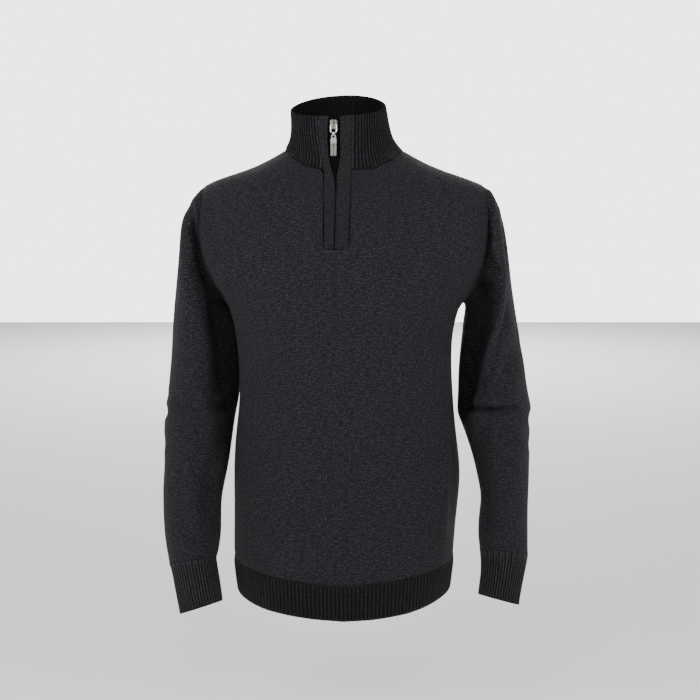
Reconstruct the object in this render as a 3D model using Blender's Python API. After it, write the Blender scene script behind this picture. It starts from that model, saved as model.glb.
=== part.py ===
"""Quarter-zip knitted pullover with a ribbed stand collar, in its hollow worn form.

Metres, +Z up, the front faces -Y. The origin is the middle of the neck base, level with the
points where the shoulder seams meet the collar. Left and right are as seen from the front.
"""
import math

import bpy
import bmesh
import numpy as np
from mathutils import Matrix

# ---------------------------------------------------------------- sizes
WALL = 0.0020              # plain knit
RIB_WALL = 0.0018          # knit under the ribs
RIB_RISE = 0.0010          # how far a rib stands out
TAPE_WALL = 0.0010         # zip tape
HALF_GAP = 0.00015         # half the space between two sewn edges
TAPE_GAP = 0.0003          # space between a band's inside and the zip tape

SHOULDER_Z = -0.0510       # shoulder point
UNDERARM_Z = -0.2370       # lowest point of the armhole
HEM_TOP_Z = -0.6030        # where the hem rib starts, at the side seams
HEM_TOP_DIP = 0.0095       # how much lower that line is at centre front
HEM_END_Z = -0.6465        # lower edge of the hem rib, at the side seams
HEM_END_DIP = 0.0105
PLACKET_END_Z = -0.1514    # lower end of the placket
ROUNDNESS = 2.25           # exponent of the body's level sections

LOWER_ROWS = 11            # panel rows between hem and underarm
NOTCH_ROWS = 5             # panel rows between underarm and placket end
UPPER_ROWS = 7             # panel rows between placket end and neck or shoulder
NECK_CELLS = 4             # panel columns between placket and shoulder seam
SHOULDER_CELLS = 5         # panel columns along a shoulder seam
BACK_MIDDLE = 0.0170       # half-width of the back's two middle columns
QUARTER = 0.228            # length of a quarter of the level section at the placket's end
NECK_SHARE = 0.45          # share of that length below the end of the shoulder seam
SLIT_TOP_Z = -0.0388       # neck seam at the placket
SAMPLES = 180              # points along a line that is divided evenly afterwards

HEM_RIBS = 80              # each of the two hem bands
COLLAR_RIBS = 84
CUFF_RIBS = 48
INNER_STEP = 4             # outer columns to one inner column in a ribbed band
HEM_LEVELS = (0.12, 0.55, 1.0)     # shares of the hem's height at its rows

# Level sections of the body: half-widths and depths from the side seam line.
BODY_COLUMNS = ("z", "left", "right", "front", "back")
BODY_SECTIONS = (
    (-0.6600, 0.1580, 0.1580, 0.1165, 0.1165),
    (-0.6465, 0.1590, 0.1590, 0.1175, 0.1170),
    (-0.6300, 0.1612, 0.1608, 0.1187, 0.1182),
    (-0.6050, 0.1642, 0.1642, 0.1200, 0.1200),
    (-0.5850, 0.1650, 0.1652, 0.1205, 0.1205),
    (-0.5550, 0.1650, 0.1680, 0.1200, 0.1195),
    (-0.5250, 0.1650, 0.1712, 0.1190, 0.1175),
    (-0.4950, 0.1650, 0.1740, 0.1180, 0.1150),
    (-0.4650, 0.1648, 0.1742, 0.1165, 0.1115),
    (-0.4350, 0.1635, 0.1698, 0.1155, 0.1080),
    (-0.4050, 0.1602, 0.1662, 0.1150, 0.1050),
    (-0.3750, 0.1565, 0.1640, 0.1155, 0.1030),
    (-0.3450, 0.1555, 0.1618, 0.1170, 0.1025),
    (-0.3000, 0.1590, 0.1610, 0.1210, 0.1060),
    (-0.2700, 0.1628, 0.1628, 0.1240, 0.1100),
    (-0.2500, 0.1668, 0.1668, 0.1255, 0.1130),
    (-0.2370, 0.1715, 0.1715, 0.1262, 0.1150),
    (-0.2200, 0.1840, 0.1840, 0.1270, 0.1170),
    (-0.2000, 0.1985, 0.1985, 0.1270, 0.1190),
    (-0.1750, 0.2160, 0.2160, 0.1250, 0.1210),
    (-0.1500, 0.2290, 0.2290, 0.1220, 0.1210),
    (-0.1250, 0.2345, 0.2345, 0.1170, 0.1190),
    (-0.1000, 0.2345, 0.2345, 0.1110, 0.1150),
    (-0.0800, 0.2285, 0.2285, 0.1050, 0.1100),
    (-0.0650, 0.2195, 0.2195, 0.0990, 0.1050),
    (-0.0510, 0.2055, 0.2055, 0.0900, 0.0990),
    (-0.0450, 0.1915, 0.1915, 0.0862, 0.0960),
    (-0.0390, 0.1740, 0.1740, 0.0825, 0.0925),
    (-0.0330, 0.1535, 0.1535, 0.0792, 0.0890),
    (-0.0270, 0.1385, 0.1385, 0.0762, 0.0850),
    (-0.0210, 0.1250, 0.1250, 0.0735, 0.0810),
    (-0.0150, 0.1130, 0.1130, 0.0708, 0.0765),
    (-0.0090, 0.1020, 0.1020, 0.0700, 0.0715),
    (-0.0030, 0.0920, 0.0920, 0.0660, 0.0665),
    (0.0000, 0.0875, 0.0875, 0.0630, 0.0640),
    (0.0060, 0.0820, 0.0820, 0.0580, 0.0590),
    (0.0120, 0.0780, 0.0780, 0.0540, 0.0550),
)

# Half-width of the body at the armhole seam.
ARMHOLE_COLUMNS = ("z", "x")
ARMHOLE = (
    (-0.2370, 0.1715),
    (-0.2200, 0.1775),
    (-0.2000, 0.1865),
    (-0.1750, 0.1985),
    (-0.1500, 0.2105),
    (-0.1250, 0.2180),
    (-0.1000, 0.2210),
    (-0.0800, 0.2195),
    (-0.0650, 0.2145),
    (-0.0510, 0.2055),
)

# Front neck seam: height against distance from the middle.
NECKLINE_COLUMNS = ("x", "z")
FRONT_NECKLINE = (
    (0.0000, -0.0390),
    (0.0300, -0.0378),
    (0.0460, -0.0345),
    (0.0570, -0.0292),
    (0.0690, -0.0210),
    (0.0800, -0.0105),
    (0.0875, 0.0000),
)

# Stand collar: each ring's heights, half-widths and depths.
COLLAR_COLUMNS = ("share", "z_front", "z_side", "z_back", "left", "right", "front", "back")
COLLAR_RINGS = (
    (0.10, -0.0313, 0.0070, 0.0090, 0.0850, 0.0800, 0.0798, 0.0625),
    (0.28, -0.0170, 0.0170, 0.0240, 0.0790, 0.0715, 0.0772, 0.0605),
    (0.62, 0.0097, 0.0400, 0.0580, 0.0775, 0.0660, 0.0742, 0.0585),
    (1.00, 0.0392, 0.0630, 0.0925, 0.0790, 0.0620, 0.0720, 0.0575),
)
COLLAR_ROUNDNESS = 2.15
COLLAR_ROLL = 0.0030       # the right side of the rim is higher, the left lower

# The placket's edges across the front: outer and inner edge of each band.
PLACKET_COLUMNS = ("z", "outer_left", "inner_left", "inner_right", "outer_right")
PLACKET = (
    (-0.1514, -0.0267, -0.0128, -0.0126, 0.0076),
    (-0.1188, -0.0269, -0.0119, -0.0117, 0.0080),
    (-0.0927, -0.0271, -0.0113, -0.0111, 0.0095),
    (-0.0749, -0.0273, -0.0104, -0.0102, 0.0100),
    (-0.0611, -0.0276, -0.0113, -0.0096, 0.0102),
    (-0.0529, -0.0278, -0.0130, -0.0091, 0.0103),
    (-0.0403, -0.0281, -0.0166, -0.0081, 0.0104),
    (-0.0229, -0.0300, -0.0188, -0.0080, 0.0106),
    (-0.0039, -0.0352, -0.0217, -0.0079, 0.0112),
    (0.0120, -0.0362, -0.0230, -0.0069, 0.0115),
    (0.0236, -0.0368, -0.0220, -0.0067, 0.0117),
    (0.0324, -0.0373, -0.0212, -0.0076, 0.0118),
    (0.0404, -0.0377, -0.0204, -0.0090, 0.0119),
)
TAPE_WIDTH = 0.0120
TAPE_HALF_SLIT = 0.00020
TAPE_SHORT = 0.10          # share of the last row by which the tape stops below the rim

# Rings of a sleeve, from armhole to cuff: the ring's outer and inner point seen from the front
# (x is the distance from the middle), how far its centre is behind the side seams, half its
# depth, and how many degrees the arm leans forward there.
SLEEVE_COLUMNS = ("out_x", "out_z", "in_x", "in_z", "back", "depth", "lean")
RIGHT_SLEEVE = (
    (0.2055, -0.0510, 0.1715, -0.2370, 0.000, 0.0500, 0),
    (0.2185, -0.0640, 0.1745, -0.2305, 0.000, 0.0515, 0),
    (0.2300, -0.0830, 0.1778, -0.2288, 0.000, 0.0535, 0),
    (0.2375, -0.1080, 0.1808, -0.2310, 0.001, 0.0560, 0),
    (0.2430, -0.1400, 0.1822, -0.2370, 0.002, 0.0585, 0),
    (0.2485, -0.1800, 0.1815, -0.2480, 0.004, 0.0605, 0),
    (0.2545, -0.2230, 0.1795, -0.2640, 0.006, 0.0620, 0),
    (0.2605, -0.2640, 0.1770, -0.2840, 0.008, 0.0620, 0),
    (0.2667, -0.3020, 0.1745, -0.3080, 0.008, 0.0610, 0),
    (0.2728, -0.3340, 0.1732, -0.3350, 0.008, 0.0600, 0),
    (0.2775, -0.3600, 0.1728, -0.3600, 0.007, 0.0590, 0),
    (0.2818, -0.3800, 0.1715, -0.3800, 0.004, 0.0580, 2),
    (0.2795, -0.3930, 0.1703, -0.3930, 0.001, 0.0570, 4),
    (0.2772, -0.4060, 0.1765, -0.4070, -0.003, 0.0560, 8),
    (0.2766, -0.4280, 0.1840, -0.4280, -0.008, 0.0540, 12),
    (0.2742, -0.4540, 0.1925, -0.4540, -0.0155, 0.0510, 15),
    (0.2724, -0.4860, 0.1983, -0.4850, -0.025, 0.0475, 16),
    (0.2697, -0.5130, 0.2030, -0.5110, -0.033, 0.0450, 16),
    (0.2684, -0.5400, 0.1970, -0.5370, -0.040, 0.0440, 16),
    (0.2670, -0.5660, 0.1944, -0.5620, -0.047, 0.0430, 17),
    (0.2658, -0.5895, 0.1968, -0.5835, -0.053, 0.0405, 18),
)
LEFT_SLEEVE = (
    (0.2055, -0.0510, 0.1715, -0.2370, 0.000, 0.0500, 0),
    (0.2190, -0.0640, 0.1745, -0.2305, 0.000, 0.0515, 0),
    (0.2310, -0.0830, 0.1775, -0.2290, 0.000, 0.0535, 0),
    (0.2390, -0.1060, 0.1795, -0.2310, 0.001, 0.0560, 0),
    (0.2428, -0.1400, 0.1798, -0.2370, 0.002, 0.0585, 0),
    (0.2475, -0.1800, 0.1780, -0.2480, 0.004, 0.0605, 0),
    (0.2540, -0.2240, 0.1705, -0.2640, 0.014, 0.0620, 0),
    (0.2595, -0.2640, 0.1632, -0.2840, 0.020, 0.0620, 0),
    (0.2622, -0.3000, 0.1604, -0.3080, 0.022, 0.0610, 0),
    (0.2650, -0.3330, 0.1582, -0.3350, 0.021, 0.0600, 0),
    (0.2668, -0.3600, 0.1584, -0.3600, 0.017, 0.0590, 0),
    (0.2680, -0.3810, 0.1604, -0.3800, 0.012, 0.0580, 2),
    (0.2690, -0.3980, 0.1635, -0.3980, 0.006, 0.0570, 4),
    (0.2693, -0.4180, 0.1658, -0.4180, -0.003, 0.0560, 9),
    (0.2675, -0.4420, 0.1682, -0.4420, -0.012, 0.0545, 13),
    (0.2655, -0.4700, 0.1718, -0.4690, -0.020, 0.0525, 15),
    (0.2655, -0.4980, 0.1770, -0.4960, -0.0285, 0.0500, 16),
    (0.2640, -0.5180, 0.1795, -0.5150, -0.034, 0.0485, 16),
    (0.2620, -0.5420, 0.1785, -0.5380, -0.041, 0.0470, 16),
    (0.2590, -0.5710, 0.1780, -0.5650, -0.049, 0.0445, 17),
    (0.2510, -0.6020, 0.1838, -0.5930, -0.0565, 0.0400, 18),
)
# The cuffs' columns are the same.
RIGHT_CUFF = (
    (0.2618, -0.6030, 0.1990, -0.5965, -0.057, 0.0385, 18),
    (0.2562, -0.6230, 0.1982, -0.6140, -0.062, 0.0360, 19),
    (0.2490, -0.6562, 0.1933, -0.6410, -0.069, 0.0345, 20),
)
LEFT_CUFF = (
    (0.2450, -0.6135, 0.1836, -0.6040, -0.060, 0.0385, 18),
    (0.2412, -0.6320, 0.1797, -0.6200, -0.064, 0.0375, 19),
    (0.2320, -0.6680, 0.1739, -0.6490, -0.072, 0.0355, 20),
)
SETTLE_RINGS = 7           # sleeve rings over which the armhole's shape fades out

# Large folds of the sleeves: ring and degrees round it (0 outside, 90 front, 180 body side),
# then each fold's half-width and how far it stands out (or in, when negative).
FOLD_POINTS = 41           # points along a fold's line
FOLD_END = 0.06            # share of the fade that is left at a fold's ends
FOLD_FADE = 0.6            # how quickly a fold fades towards its ends
# Each fold: its path, width and rise.
RIGHT_FOLDS = (
    (((1.5, 52), (3.5, 62), (5.5, 70), (7.0, 80), (8.2, 98), (9.6, 116), (11.2, 130)), 0.017, 0.0070),
    (((5.5, 118), (7.5, 128), (9.5, 146), (10.5, 152)), 0.020, -0.0070),
    (((12.0, 60), (12.2, 90), (12.2, 118)), 0.010, -0.0075),
    (((12.6, 110), (13.6, 108), (15.0, 112)), 0.014, -0.0060),
    (((13.0, 70), (13.4, 85), (14.2, 96)), 0.014, 0.0030),
    (((12.0, 240), (12.2, 270), (11.8, 300)), 0.012, -0.0050),
)
LEFT_FOLDS = (
    (((1.5, 60), (4.0, 78), (7.0, 86), (11.0, 84)), 0.022, 0.0035),
    (((5.0, 128), (8.0, 135), (11.5, 138)), 0.024, -0.0060),
    (((11.8, 100), (12.0, 125), (11.6, 150)), 0.011, -0.0045),
    (((13.2, 130), (14.0, 142), (15.5, 140)), 0.015, -0.0045),
    (((12.4, 235), (12.0, 265), (12.4, 295)), 0.013, -0.0045),
)

# Slider, link and pull tab.
ZIP_X = -0.0142            # middle of the slider
SLIDER_TOP_Z = 0.0334
SLIDER_FRONT_Y = -0.0745
SLIDER_BACK_Y = -0.0709
# Half width and drop below the top.
SLIDER_OUTLINE = (
    (0.0028, 0.0000),
    (0.0046, 0.0007),
    (0.0054, 0.0026),
    (0.0050, 0.0060),
    (0.0036, 0.0112),
    (0.0026, 0.0130),
)
BRIDGE_HALF_WIDTH = 0.0021
BRIDGE_TOP_Z = 0.0311
BRIDGE_END_Z = 0.0211
BRIDGE_FRONT_Y = -0.0786
BRIDGE_STRAP = 0.0012
BRIDGE_FOOT = 0.0014
BRIDGE_ROOT = 0.0006       # how deep the bridge stands in the slider's body
BRIDGE_CORNER = 0.0006
LINK_BAR = 0.0007          # radius of the link's wire
LINK_HALF_WIDTH = 0.0041
LINK_TOP = (-0.0759, 0.0269)   # y, z of the link's upper bar, its hinge
LINK_DROP = 0.0124
LINK_TOP_CORNER = 0.0012
LINK_END_CORNER = 0.0030
TAB_LEAN = 4.3             # degrees the hanging tab follows the placket
KNUCKLE_RADIUS = 0.0017
KNUCKLE_BORE = 0.0011
KNUCKLE_HALF_WIDTH = 0.0016
EYE_DROP = 0.0050          # from the tab's hinge to the middle of its eye
EYE_RADIUS = 0.0026
EYE_WIRE = 0.0009
TAB_TOP_DROP = 0.0078
TAB_END_DROP = 0.0325
TAB_HALF_WIDTH = 0.0041
TAB_THICK = 0.0014
TAB_CORNER = 0.0012
TAB_NECK = (0.0024, 0.0012, 0.0022)
TAB_LIP = 0.0060           # length of the thicker upper part
TAB_LIP_RISE = 0.0004
TAB_LIP_INSET = 0.0005


# How a flat outline is turned: to face the front, or to be seen from its edge.
FACING = Matrix.Rotation(math.pi / 2.0, 3, "X")
EDGE_ON = Matrix(((0.0, 0.0, 1.0), (1.0, 0.0, 0.0), (0.0, 1.0, 0.0)))
WELD = 0.00001
ROUND_SIDES = 20
WIRE_SIDES = 10
SHARP = 35.0               # degrees from which a metal edge stays sharp

CLOTH = (0.030, 0.032, 0.035)
RIB_CLOTH = (0.026, 0.028, 0.031)
TAPE_CLOTH = (0.012, 0.012, 0.013)
SLIDER_METAL = (0.62, 0.62, 0.63)
PULL_METAL = (0.66, 0.66, 0.67)


# ---------------------------------------------------------------- tables
def column(rows, names, name):
    """One named column of a table."""
    return [row[names.index(name)] for row in rows]


def smooth(xs, ys, x):
    """Value at x of a smooth curve through the points, without overshoot."""
    xs = np.asarray(xs, float)
    ys = np.asarray(ys, float)
    x = np.clip(x, xs[0], xs[-1])
    step = np.diff(xs)
    slope = np.diff(ys) / step
    tangent = np.zeros(len(xs))
    tangent[0] = slope[0]
    tangent[-1] = slope[-1]
    for i in range(1, len(xs) - 1):
        if slope[i - 1] * slope[i] > 0.0:
            first = 2.0 * step[i] + step[i - 1]
            second = step[i] + 2.0 * step[i - 1]
            tangent[i] = (first + second) / (first / slope[i - 1] + second / slope[i])
    at = np.clip(np.searchsorted(xs, x, side="right") - 1, 0, len(xs) - 2)
    t = (x - xs[at]) / step[at]
    start = ys[at] * (1.0 + 2.0 * t) * (1.0 - t) ** 2 + tangent[at] * step[at] * t * (1.0 - t) ** 2
    end = ys[at + 1] * t * t * (3.0 - 2.0 * t) + tangent[at + 1] * step[at] * t * t * (t - 1.0)
    return start + end


def from_table(rows, names, given, wanted, x):
    """Smooth value of one column against another."""
    return smooth(column(rows, names, given), column(rows, names, wanted), x)


def ease(t):
    """0 to 1 with level ends."""
    t = np.clip(t, 0.0, 1.0)
    return t * t * (3.0 - 2.0 * t)


def unit(v):
    """Vectors scaled to length one."""
    v = np.asarray(v, float)
    return v / np.maximum(np.linalg.norm(v, axis=-1, keepdims=True), 1e-12)


def square_to(along, v):
    """Directions v made square to the seam directions along."""
    along = unit(along)
    return unit(v - np.sum(v * along, axis=-1, keepdims=True) * along)


def even_steps(points, shares):
    """Points at the given shares of a polyline's length."""
    points = np.asarray(points, float)
    length = np.concatenate([[0.0], np.cumsum(np.linalg.norm(np.diff(points, axis=0), axis=1))])
    want = np.asarray(shares) * length[-1]
    return np.stack([np.interp(want, length, points[:, k]) for k in range(3)], axis=1)


# ---------------------------------------------------------------- body form
def half_width(z, side):
    """Half-width of the body's level section, side +1 right or -1 left."""
    return from_table(BODY_SECTIONS, BODY_COLUMNS, "z", "right" if side > 0 else "left", z)


def depth(z, face):
    """Depth of the body's level section, face -1 front or +1 back."""
    return from_table(BODY_SECTIONS, BODY_COLUMNS, "z", "front" if face < 0 else "back", z)


def on_body(x, z, face):
    """Point of the body form at x, z on the front (-1) or back (+1)."""
    width = half_width(z, 1.0 if x >= 0.0 else -1.0)
    share = min(abs(x) / width, 1.0)
    y = face * depth(z, face) * math.sqrt(max(0.0, 1.0 - share ** ROUNDNESS))
    return np.array([x, y, float(z)])


def body_normal(point):
    """Outward direction of the body form at a point of it."""
    x, y, z = point
    side = 1.0 if x >= 0.0 else -1.0
    face = 1.0 if y > 0.0 else -1.0

    def level(height):
        share = abs(x) / half_width(height, side)
        return share ** ROUNDNESS + (y / depth(height, face)) ** 2

    width = half_width(z, side)
    d = 0.0008
    return unit([side * ROUNDNESS * (abs(x) / width) ** (ROUNDNESS - 1.0) / width,
                 2.0 * y / depth(z, face) ** 2,
                 (level(z + d) - level(z - d)) / (2.0 * d)])


def level_point(share, z, side, face):
    """Point at a share (0 middle, 1 side seam) of a quarter of the level section."""
    turn = np.linspace(0.0, math.pi / 2.0, SAMPLES)
    x = side * half_width(z, side) * np.sin(turn) ** (2.0 / ROUNDNESS)
    y = face * depth(z, face) * np.cos(turn)
    quarter = np.stack([x, y, np.full_like(x, z)], axis=1)
    return even_steps(quarter, [share])[0]


def armhole_x(z):
    """Half-width of the body at the armhole seam."""
    return from_table(ARMHOLE, ARMHOLE_COLUMNS, "z", "x", z)


def neck_z(x, face):
    """Height of the neck seam."""
    if face > 0:
        return 0.0
    return float(from_table(FRONT_NECKLINE, NECKLINE_COLUMNS, "x", "z", abs(x)))


def placket_x(edge, z):
    """One edge line of the placket."""
    return float(from_table(PLACKET, PLACKET_COLUMNS, "z", edge, z))


def slit_x(z):
    """The line between the two bands."""
    return 0.5 * (placket_x("inner_left", z) + placket_x("inner_right", z))


def neck_side_x():
    """Where the shoulder seam meets the neck."""
    return float(half_width(0.0, 1.0))


def panel_tops(side, face):
    """Top points of a half panel's columns from the middle out to the shoulder point."""
    if face < 0:
        edge = "outer_right" if side > 0 else "outer_left"
        start = abs(placket_x(edge, SLIT_TOP_Z))
    else:
        start = BACK_MIDDLE
    neck_x = np.linspace(start, neck_side_x(), SAMPLES)
    neck = [on_body(side * x, neck_z(x, face), face) for x in neck_x]
    tops = list(even_steps(neck, np.linspace(0.0, 1.0, NECK_CELLS + 1)))
    ridge_z = np.linspace(0.0, SHOULDER_Z, SAMPLES)
    ridge = [np.array([side * half_width(z, side), 0.0, z]) for z in ridge_z]
    tops += list(even_steps(ridge, np.linspace(0.0, 1.0, SHOULDER_CELLS + 1)))[1:]
    return tops


def column_shares(side, face):
    """Share of the quarter section at which each column of a half panel starts."""
    if face < 0:
        edge = "outer_right" if side > 0 else "outer_left"
        start = abs(placket_x(edge, PLACKET_END_Z)) / QUARTER
    else:
        start = BACK_MIDDLE / QUARTER
    neck = np.linspace(start, NECK_SHARE, NECK_CELLS + 1)
    shoulder = np.linspace(NECK_SHARE, 1.0, SHOULDER_CELLS + 1)[1:]
    return list(neck) + list(shoulder)


def rising_line(share, top, side, face, fixed_x=None):
    """A panel column from the underarm level up to its top point, finely sampled."""
    low = level_point(share, UNDERARM_Z, side, face)
    lift = np.sin(np.linspace(0.0, math.pi / 2.0, SAMPLES))
    heights = UNDERARM_Z + (top[2] - UNDERARM_Z) * lift
    line = []
    for q, z in zip(lift, heights):
        reach = armhole_x(min(z, SHOULDER_Z))
        lean = low[0] / half_width(UNDERARM_Z, side) * reach
        s = ease(q)
        x = (1.0 - s) * lean + s * top[0]
        if fixed_x is not None:
            into = ease((z - UNDERARM_Z) / (PLACKET_END_Z - UNDERARM_Z))
            x = (1.0 - into) * low[0] + into * fixed_x(max(z, PLACKET_END_Z))
        line.append(on_body(x, z, face))
    line[0] = low
    if fixed_x is None:
        line[-1] = np.array(top)
    return np.array(line)


def rise_shares(middle):
    """Shares of a rising line at which the panel rows lie."""
    at = int(np.argmin(np.abs(middle[:, 2] - PLACKET_END_Z)))
    length = np.concatenate([[0.0], np.cumsum(np.linalg.norm(np.diff(middle, axis=0), axis=1))])
    notch = length[at] / length[-1]
    lower = np.linspace(0.0, notch, NOTCH_ROWS + 1)
    upper = np.linspace(notch, 1.0, UPPER_ROWS + 1)
    return np.concatenate([lower, upper[1:]])


def panel_grid(face):
    """Points of a body panel: rows from hem to top, columns from left to right."""
    if face < 0:
        low_share = abs(slit_x(PLACKET_END_Z)) / QUARTER
        middle_top = on_body(slit_x(SLIT_TOP_Z), SLIT_TOP_Z, face)
        middle = rising_line(low_share, middle_top, -1.0, face, slit_x)
        middle_share = (-1.0, low_share)
    else:
        middle = rising_line(0.0, on_body(0.0, 0.0, face), 1.0, face)
        middle_share = (1.0, 0.0)
    shares = rise_shares(rising_line(0.0, on_body(0.0, neck_z(0.0, -1), -1), 1.0, -1))
    columns = []
    specs = []
    for side in (-1.0, 1.0):
        tops = panel_tops(side, face)
        starts = column_shares(side, face)
        half = []
        for k, (start, top) in enumerate(zip(starts, tops)):
            fixed = None
            if face < 0 and k == 0:
                edge = "outer_right" if side > 0 else "outer_left"

                def fixed(z, name=edge):
                    return placket_x(name, z)
            half.append((side, start, top, fixed))
        specs += half[::-1] if side < 0 else half
        if side < 0:
            specs.append((middle_share[0], middle_share[1], None, None))
    for side, start, top, fixed in specs:
        if top is None:
            line = middle
        else:
            line = rising_line(start, top, side, face, fixed)
        upper = even_steps(line, shares)
        lower = []
        for r in range(LOWER_ROWS):
            t = r / LOWER_ROWS
            z = HEM_TOP_Z + (UNDERARM_Z - HEM_TOP_Z) * t
            point = level_point(start, z, side, face)
            if face < 0:
                dip = HEM_TOP_DIP * (1.0 - t) * (1.0 - start) ** 2
                point = level_point(start, z - dip, side, face)
            lower.append(point)
        columns.append(np.concatenate([np.array(lower), upper]))
    return np.stack(columns, axis=1)


# ---------------------------------------------------------------- meshes
def plain_material(name, colour, metallic, roughness):
    """A piece's own material."""
    material = bpy.data.materials.new(name)
    material.use_nodes = True
    shader = material.node_tree.nodes["Principled BSDF"]
    shader.inputs["Base Color"].default_value = (*colour, 1.0)
    shader.inputs["Metallic"].default_value = metallic
    shader.inputs["Roughness"].default_value = roughness
    return material


def finish_object(name, bm, colour, metallic, roughness, collection):
    """Turn a bmesh into a named object with its own material."""
    mesh = bpy.data.meshes.new(name)
    bmesh.ops.recalc_face_normals(bm, faces=bm.faces)
    bm.to_mesh(mesh)
    bm.free()
    mesh.shade_smooth()
    if metallic > 0.0:
        mesh.set_sharp_from_angle(angle=math.radians(SHARP))
    mesh.materials.append(plain_material(name, colour, metallic, roughness))
    result = bpy.data.objects.new(name, mesh)
    collection.objects.link(result)
    return result


def thick_sheet(outer, inner, present, closed=False):
    """Closed wall between two point grids, over the cells that are present."""
    bm = bmesh.new()
    rows, count = outer.shape[:2]
    wrap = count if closed else count - 1
    used = np.zeros((rows, count), bool)
    cells = [(r, c) for r in range(rows - 1) for c in range(wrap) if present[r, c]]
    for r, c in cells:
        d = (c + 1) % count
        used[r, c] = used[r, d] = used[r + 1, c] = used[r + 1, d] = True
    front = {}
    back = {}
    for r, c in zip(*np.nonzero(used)):
        front[r, c] = bm.verts.new(outer[r, c])
        back[r, c] = bm.verts.new(inner[r, c])
    edges = {}
    for r, c in cells:
        d = (c + 1) % count
        loop = [(r, c), (r, d), (r + 1, d), (r + 1, c)]
        bm.faces.new([front[k] for k in loop])
        bm.faces.new([back[k] for k in reversed(loop)])
        for a, b in zip(loop, loop[1:] + loop[:1]):
            edges[a, b] = True
    for a, b in edges:
        if (b, a) not in edges:
            bm.faces.new([front[b], front[a], back[a], back[b]])
    return bm


def ribbed_band(outer, inner, closed):
    """Closed wall with many outer columns and every INNER_STEP-th column inside."""
    bm = bmesh.new()
    rows, count = outer.shape[:2]
    coarse = inner.shape[1]
    front = [[bm.verts.new(p) for p in row] for row in outer]
    back = [[bm.verts.new(p) for p in row] for row in inner]
    for verts, number in ((front, count), (back, coarse)):
        wrap = number if closed else number - 1
        for r in range(rows - 1):
            for c in range(wrap):
                d = (c + 1) % number
                loop = [verts[r][c], verts[r][d], verts[r + 1][d], verts[r + 1][c]]
                bm.faces.new(loop if verts is front else loop[::-1])
    cells = coarse if closed else coarse - 1
    for r in (0, rows - 1):
        for k in range(cells):
            near, far = back[r][k], back[r][(k + 1) % coarse]
            half = INNER_STEP // 2
            fine = [front[r][(k * INNER_STEP + i) % count] for i in range(INNER_STEP + 1)]
            for i in range(INNER_STEP):
                rim = near if i < half else far
                bm.faces.new([fine[i], fine[i + 1], rim])
            bm.faces.new([fine[half], far, near])
    if not closed:
        for r in range(rows - 1):
            for f, b in ((0, 0), (count - 1, coarse - 1)):
                bm.faces.new([front[r][f], front[r + 1][f], back[r + 1][b], back[r][b]])
    bmesh.ops.recalc_face_normals(bm, faces=bm.faces)
    return bm


def grid_normals(grid, closed):
    """Outward directions of a grid whose rows run down and columns run round."""
    down = np.gradient(grid, axis=0)
    if closed:
        across = (np.roll(grid, -1, axis=1) - np.roll(grid, 1, axis=1)) / 2.0
    else:
        across = np.gradient(grid, axis=1)
    return unit(np.cross(down, across))


def loop_inward(points, normals, middle):
    """Directions in the cloth, square to a closed seam, pointing away from middle."""
    along = np.roll(points, -1, axis=0) - np.roll(points, 1, axis=0)
    side = unit(np.cross(normals, along))
    away = points - middle
    flip = np.sign(np.sum(side * away, axis=1, keepdims=True))
    flip[flip == 0.0] = 1.0
    return side * flip


# ---------------------------------------------------------------- collar and placket surface
def collar_value(row, name):
    """One named size of a collar ring."""
    return row[COLLAR_COLUMNS.index(name)]


def collar_point(row, turn):
    """Point of a collar ring, turn 0 at centre front and pi at centre back."""
    c = math.cos(turn)
    s = math.sin(turn)
    half = collar_value(row, "right") if s >= 0.0 else collar_value(row, "left")
    deep = collar_value(row, "front") if c >= 0.0 else collar_value(row, "back")
    x = math.copysign(half * abs(s) ** (2.0 / COLLAR_ROUNDNESS), s)
    z_front = collar_value(row, "z_front")
    z_side = collar_value(row, "z_side")
    z_back = collar_value(row, "z_back")
    z = z_side + 0.5 * (z_front - z_back) * c + (0.5 * (z_front + z_back) - z_side) * c * c
    z += COLLAR_ROLL * collar_value(row, "share") * s
    return np.array([x, -deep * c, z])


def collar_turn(row, x):
    """Turn at which a collar ring's front crosses x."""
    half = collar_value(row, "right" if x >= 0.0 else "left")
    return math.copysign(math.asin(min(1.0, (abs(x) / half) ** (COLLAR_ROUNDNESS / 2.0))), x)


def collar_front(row, x):
    """Point of a collar ring's front at x."""
    return collar_point(row, collar_turn(row, x))


def collar_line(row):
    """A collar ring from the right band round the back to the left band."""
    z = collar_value(row, "z_front")
    start = collar_turn(row, placket_x("outer_right", z))
    end = 2.0 * math.pi + collar_turn(row, placket_x("outer_left", z))
    return [collar_point(row, turn) for turn in np.linspace(start, end, 2 * SAMPLES)]


def neck_seam(front, back):
    """Seam points round the neck, their shares of its length and their wall directions."""
    last = 2 * (NECK_CELLS + SHOULDER_CELLS) + 2
    left_end = SHOULDER_CELLS
    right_end = last - SHOULDER_CELLS
    band_left = SHOULDER_CELLS + NECK_CELLS
    band_right = last - SHOULDER_CELLS - NECK_CELLS
    top = front.shape[0] - 1
    keys = [(-1, c) for c in range(band_right, right_end + 1)]
    keys += [(1, c) for c in range(right_end - 1, left_end, -1)]
    keys += [(-1, c) for c in range(left_end, band_left + 1)]
    points = np.array([(front if face < 0 else back)[top, c] for face, c in keys])
    length = np.concatenate([[0.0], np.cumsum(np.linalg.norm(np.diff(points, axis=0), axis=1))])
    shares = length / length[-1]
    above = even_steps(collar_line(COLLAR_RINGS[0]), shares)
    across = np.gradient(points, axis=0)
    collar_side = unit(np.cross(across, above - points))
    body_side = np.array([body_normal(p) for p in points])
    mitre = unit(collar_side + body_side)
    mitre = mitre / np.sum(mitre * collar_side, axis=1, keepdims=True)
    return keys, points, shares, mitre


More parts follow.
